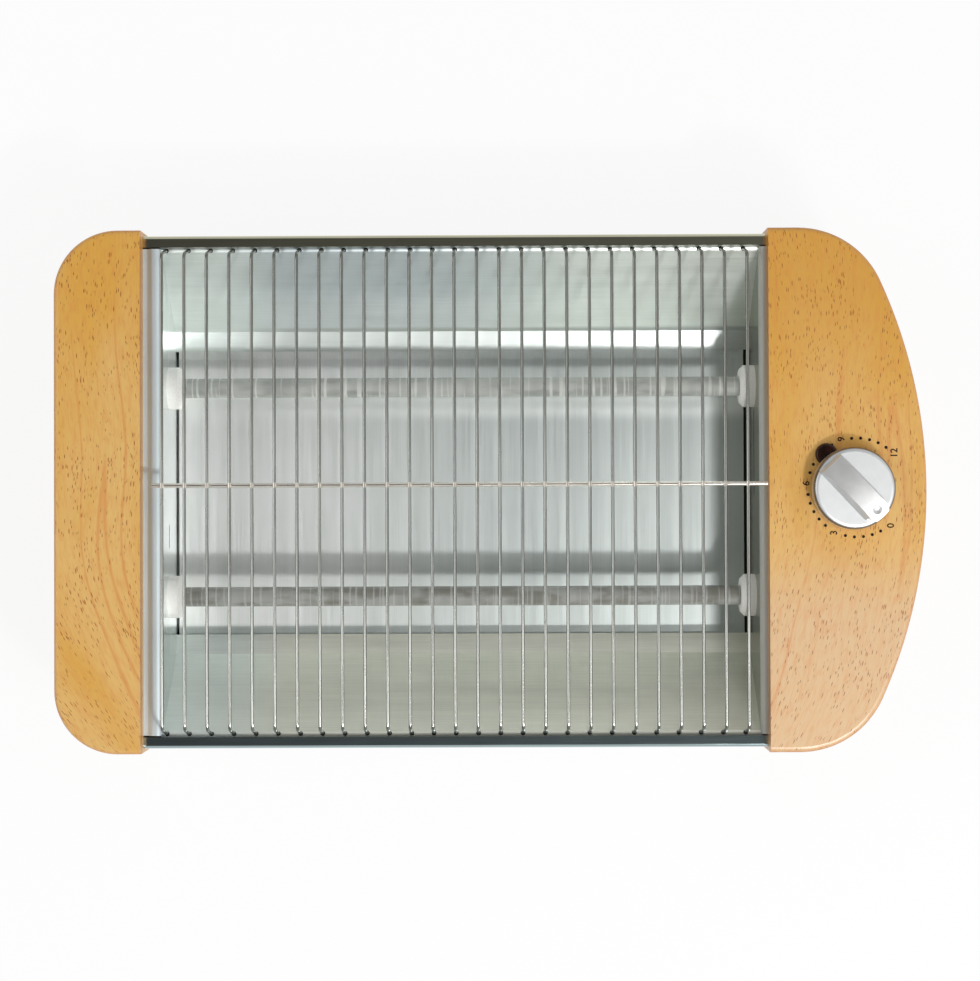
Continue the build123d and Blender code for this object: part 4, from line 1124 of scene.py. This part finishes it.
# %% One screw
CROSS_WIDTH_SHARE = 0.26
CROSS_LENGTH_SHARE = 1.15
CROSS_DEPTH_SHARE = 0.55
HEAD_ROUND_SHARE = 0.35
SHANK_SIDES = 20
HEAD_SIDES = 32


def plain_rod(radius, bottom, top, sides):
    """A cylinder round the Z axis between two heights."""
    selected_none()
    bpy.ops.mesh.primitive_cylinder_add(
        vertices=sides, radius=radius, depth=top - bottom, location=(0, 0, (top + bottom) / 2)
    )
    settle()
    return bpy.context.object


def punch_slot(head, size, turn):
    """Cuts a slot as large as given into the middle of a screw's head, at height 0."""
    bpy.ops.mesh.primitive_cube_add(size=1, rotation=(0, 0, math.radians(turn)))
    blade = bpy.context.object
    blade.scale = size
    settle()
    bpy.context.view_layer.objects.active = head
    punch = head.modifiers.new("cross", "BOOLEAN")
    punch.operation = "DIFFERENCE"
    punch.solver = "EXACT"
    punch.object = blade
    bpy.ops.object.modifier_apply(modifier="cross")
    bpy.data.objects.remove(blade)


def cross_screw(head_radius, head, shank_radius, length):
    """A screw whose head ends at height 0 and whose shank hangs down from it."""
    top = plain_rod(head_radius, -head, 0, HEAD_SIDES)
    round_over = top.modifiers.new("round", "BEVEL")
    round_over.width = head * HEAD_ROUND_SHARE
    round_over.segments = 3
    round_over.angle_limit = math.radians(50)
    bpy.ops.object.modifier_apply(modifier="round")
    slot = (head_radius * CROSS_LENGTH_SHARE, head_radius * CROSS_WIDTH_SHARE, 2 * head * CROSS_DEPTH_SHARE)
    for turn in (0, 90):
        punch_slot(top, slot, turn)
    shank = plain_rod(shank_radius, -head - length, -head * 0.9, SHANK_SIDES)
    screw = joined([top, shank])
    bpy.ops.object.shade_smooth_by_angle(angle=math.radians(35))
    return screw


print("a screw's cross is", CROSS_LENGTH_SHARE, "head radii long")

# %% Screws in the skirts and underneath
TO_FRONT = (90, 0, 0)
TO_BACK = (-90, 0, 0)
DOWN = (180, 0, 0)
SCREW_SIZES = {
    "skirt_screws": (2.8 * MM, 1.0 * MM, 1.5 * MM, 5.0 * MM),
    "cover_screws": (3.0 * MM, 1.6 * MM, 1.6 * MM, 10.0 * MM),
    "foot_screws": (3.6 * MM, 2.2 * MM, 1.9 * MM, 10.7 * MM),
    "pan_screws": (2.8 * MM, 1.5 * MM, 1.5 * MM, 5.0 * MM),
}


def screw_places(node, radius):
    """Where a node's screws are, from its box: in its corners, or for the pan in a row."""
    low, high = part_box(node)
    ends = (low.x + radius, high.x - radius)
    if node == "skirt_screws":
        levels = (low.z + radius, high.z - radius)
        sides = ((low.y, TO_FRONT), (high.y, TO_BACK))
        return [((x, y, z), turn) for x in ends for z in levels for y, turn in sides]
    if node == "pan_screws":
        middle = middle_of(node)
        return [((x, middle.y, low.z), DOWN) for x in (ends[0], middle.x, ends[1])]
    return [((x, y, low.z), DOWN) for x in ends for y in (low.y + radius, high.y - radius)]


for node, sizes in SCREW_SIZES.items():
    places = screw_places(node, sizes[0])
    joined(copied(cross_screw(*sizes), places))
    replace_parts(take("crossed_" + node, finishes["plated_steel"]), node)
    print(node, len(places))

# %% [markdown]
# ## The dial
#
# The dial is pad-printed on the wood in dark ink: five numbers, with five dots between each and the next.
# The numbers all read from the front to the back. Each is Blender's own text, made a mesh before it is
# turned and placed, and stands a twentieth of a millimetre proud like real ink.

# %% Dial numbers
DIAL_CENTRE = (157.5 * MM, 0.7 * MM)
DIAL_NUMBERS = {"0": -48.7, "3": -117.3, "6": 175.2, "9": 107.5, "12": 42.6}
NUMBER_RADIUS = 21.8 * MM
NUMBER_SIZE = 4.2 * MM
NUMBER_BOLDNESS = 0.06 * MM
NUMBER_TURN = 90
INK_STANDS_PROUD = 0.05 * MM
wood_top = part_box("right_end_block")[1].z


def on_dial(radius, angle):
    """A point on the wood, at a distance and an angle from the dial's centre."""
    turn = math.radians(angle)
    return (DIAL_CENTRE[0] + radius * math.cos(turn), DIAL_CENTRE[1] + radius * math.sin(turn), wood_top)


def dial_number(text, angle):
    """One number, which goes as deep into the wood as it stands proud of it."""
    selected_none()
    bpy.ops.object.text_add()
    number = bpy.context.object
    number.data.body = text
    number.data.size = NUMBER_SIZE
    number.data.align_x = "CENTER"
    number.data.align_y = "CENTER"
    number.data.extrude = INK_STANDS_PROUD
    number.data.offset = NUMBER_BOLDNESS
    bpy.ops.object.convert(target="MESH")
    number = bpy.context.object
    number.rotation_euler.z = math.radians(NUMBER_TURN)
    number.location = on_dial(NUMBER_RADIUS, angle)
    settle()
    return number


numbers = [dial_number(text, angle) for text, angle in DIAL_NUMBERS.items()]
print("dial numbers:", ", ".join(DIAL_NUMBERS))

# %% [markdown]
# The dots are flat discs of the same ink. They stand at even steps, and the middle dot of each gap lies
# halfway between two numbers.

# %% Dial dots
DOT_RING_RADIUS = 21.2 * MM
DOT_RADIUS = 0.68 * MM
DOT_SIDES = 20
DOT_STEP = 10.5
DOTS_BETWEEN_NUMBERS = 5


def dot_angles():
    """The angle of each dot on the dial, gap by gap."""
    turns = sorted((angle - DIAL_NUMBERS["12"]) % 360 for angle in DIAL_NUMBERS.values())
    steps = [(index - (DOTS_BETWEEN_NUMBERS - 1) / 2) * DOT_STEP for index in range(DOTS_BETWEEN_NUMBERS)]
    middles = [(a + b) / 2 + DIAL_NUMBERS["12"] for a, b in zip(turns, turns[1:])]
    return [middle + step for middle in middles for step in steps]


dot = plain_rod(DOT_RADIUS, -INK_STANDS_PROUD, INK_STANDS_PROUD, DOT_SIDES)
dots = copied(dot, [(on_dial(DOT_RING_RADIUS, angle), UNTURNED) for angle in dot_angles()])
print("dots at", [round(angle) for angle in dot_angles()])

# %% Dial print
ink_finish = moulded("dial_ink", (0.016, 0.009, 0.005), 0.6, 0.2, 0.005)
plug(ink_finish.node_tree.nodes["Principled BSDF"], {"Specular IOR Level": 0.1})
joined(numbers + dots)
dial = take("dial_print", ink_finish)
print("dial print:", len(dial.data.polygons), "faces")
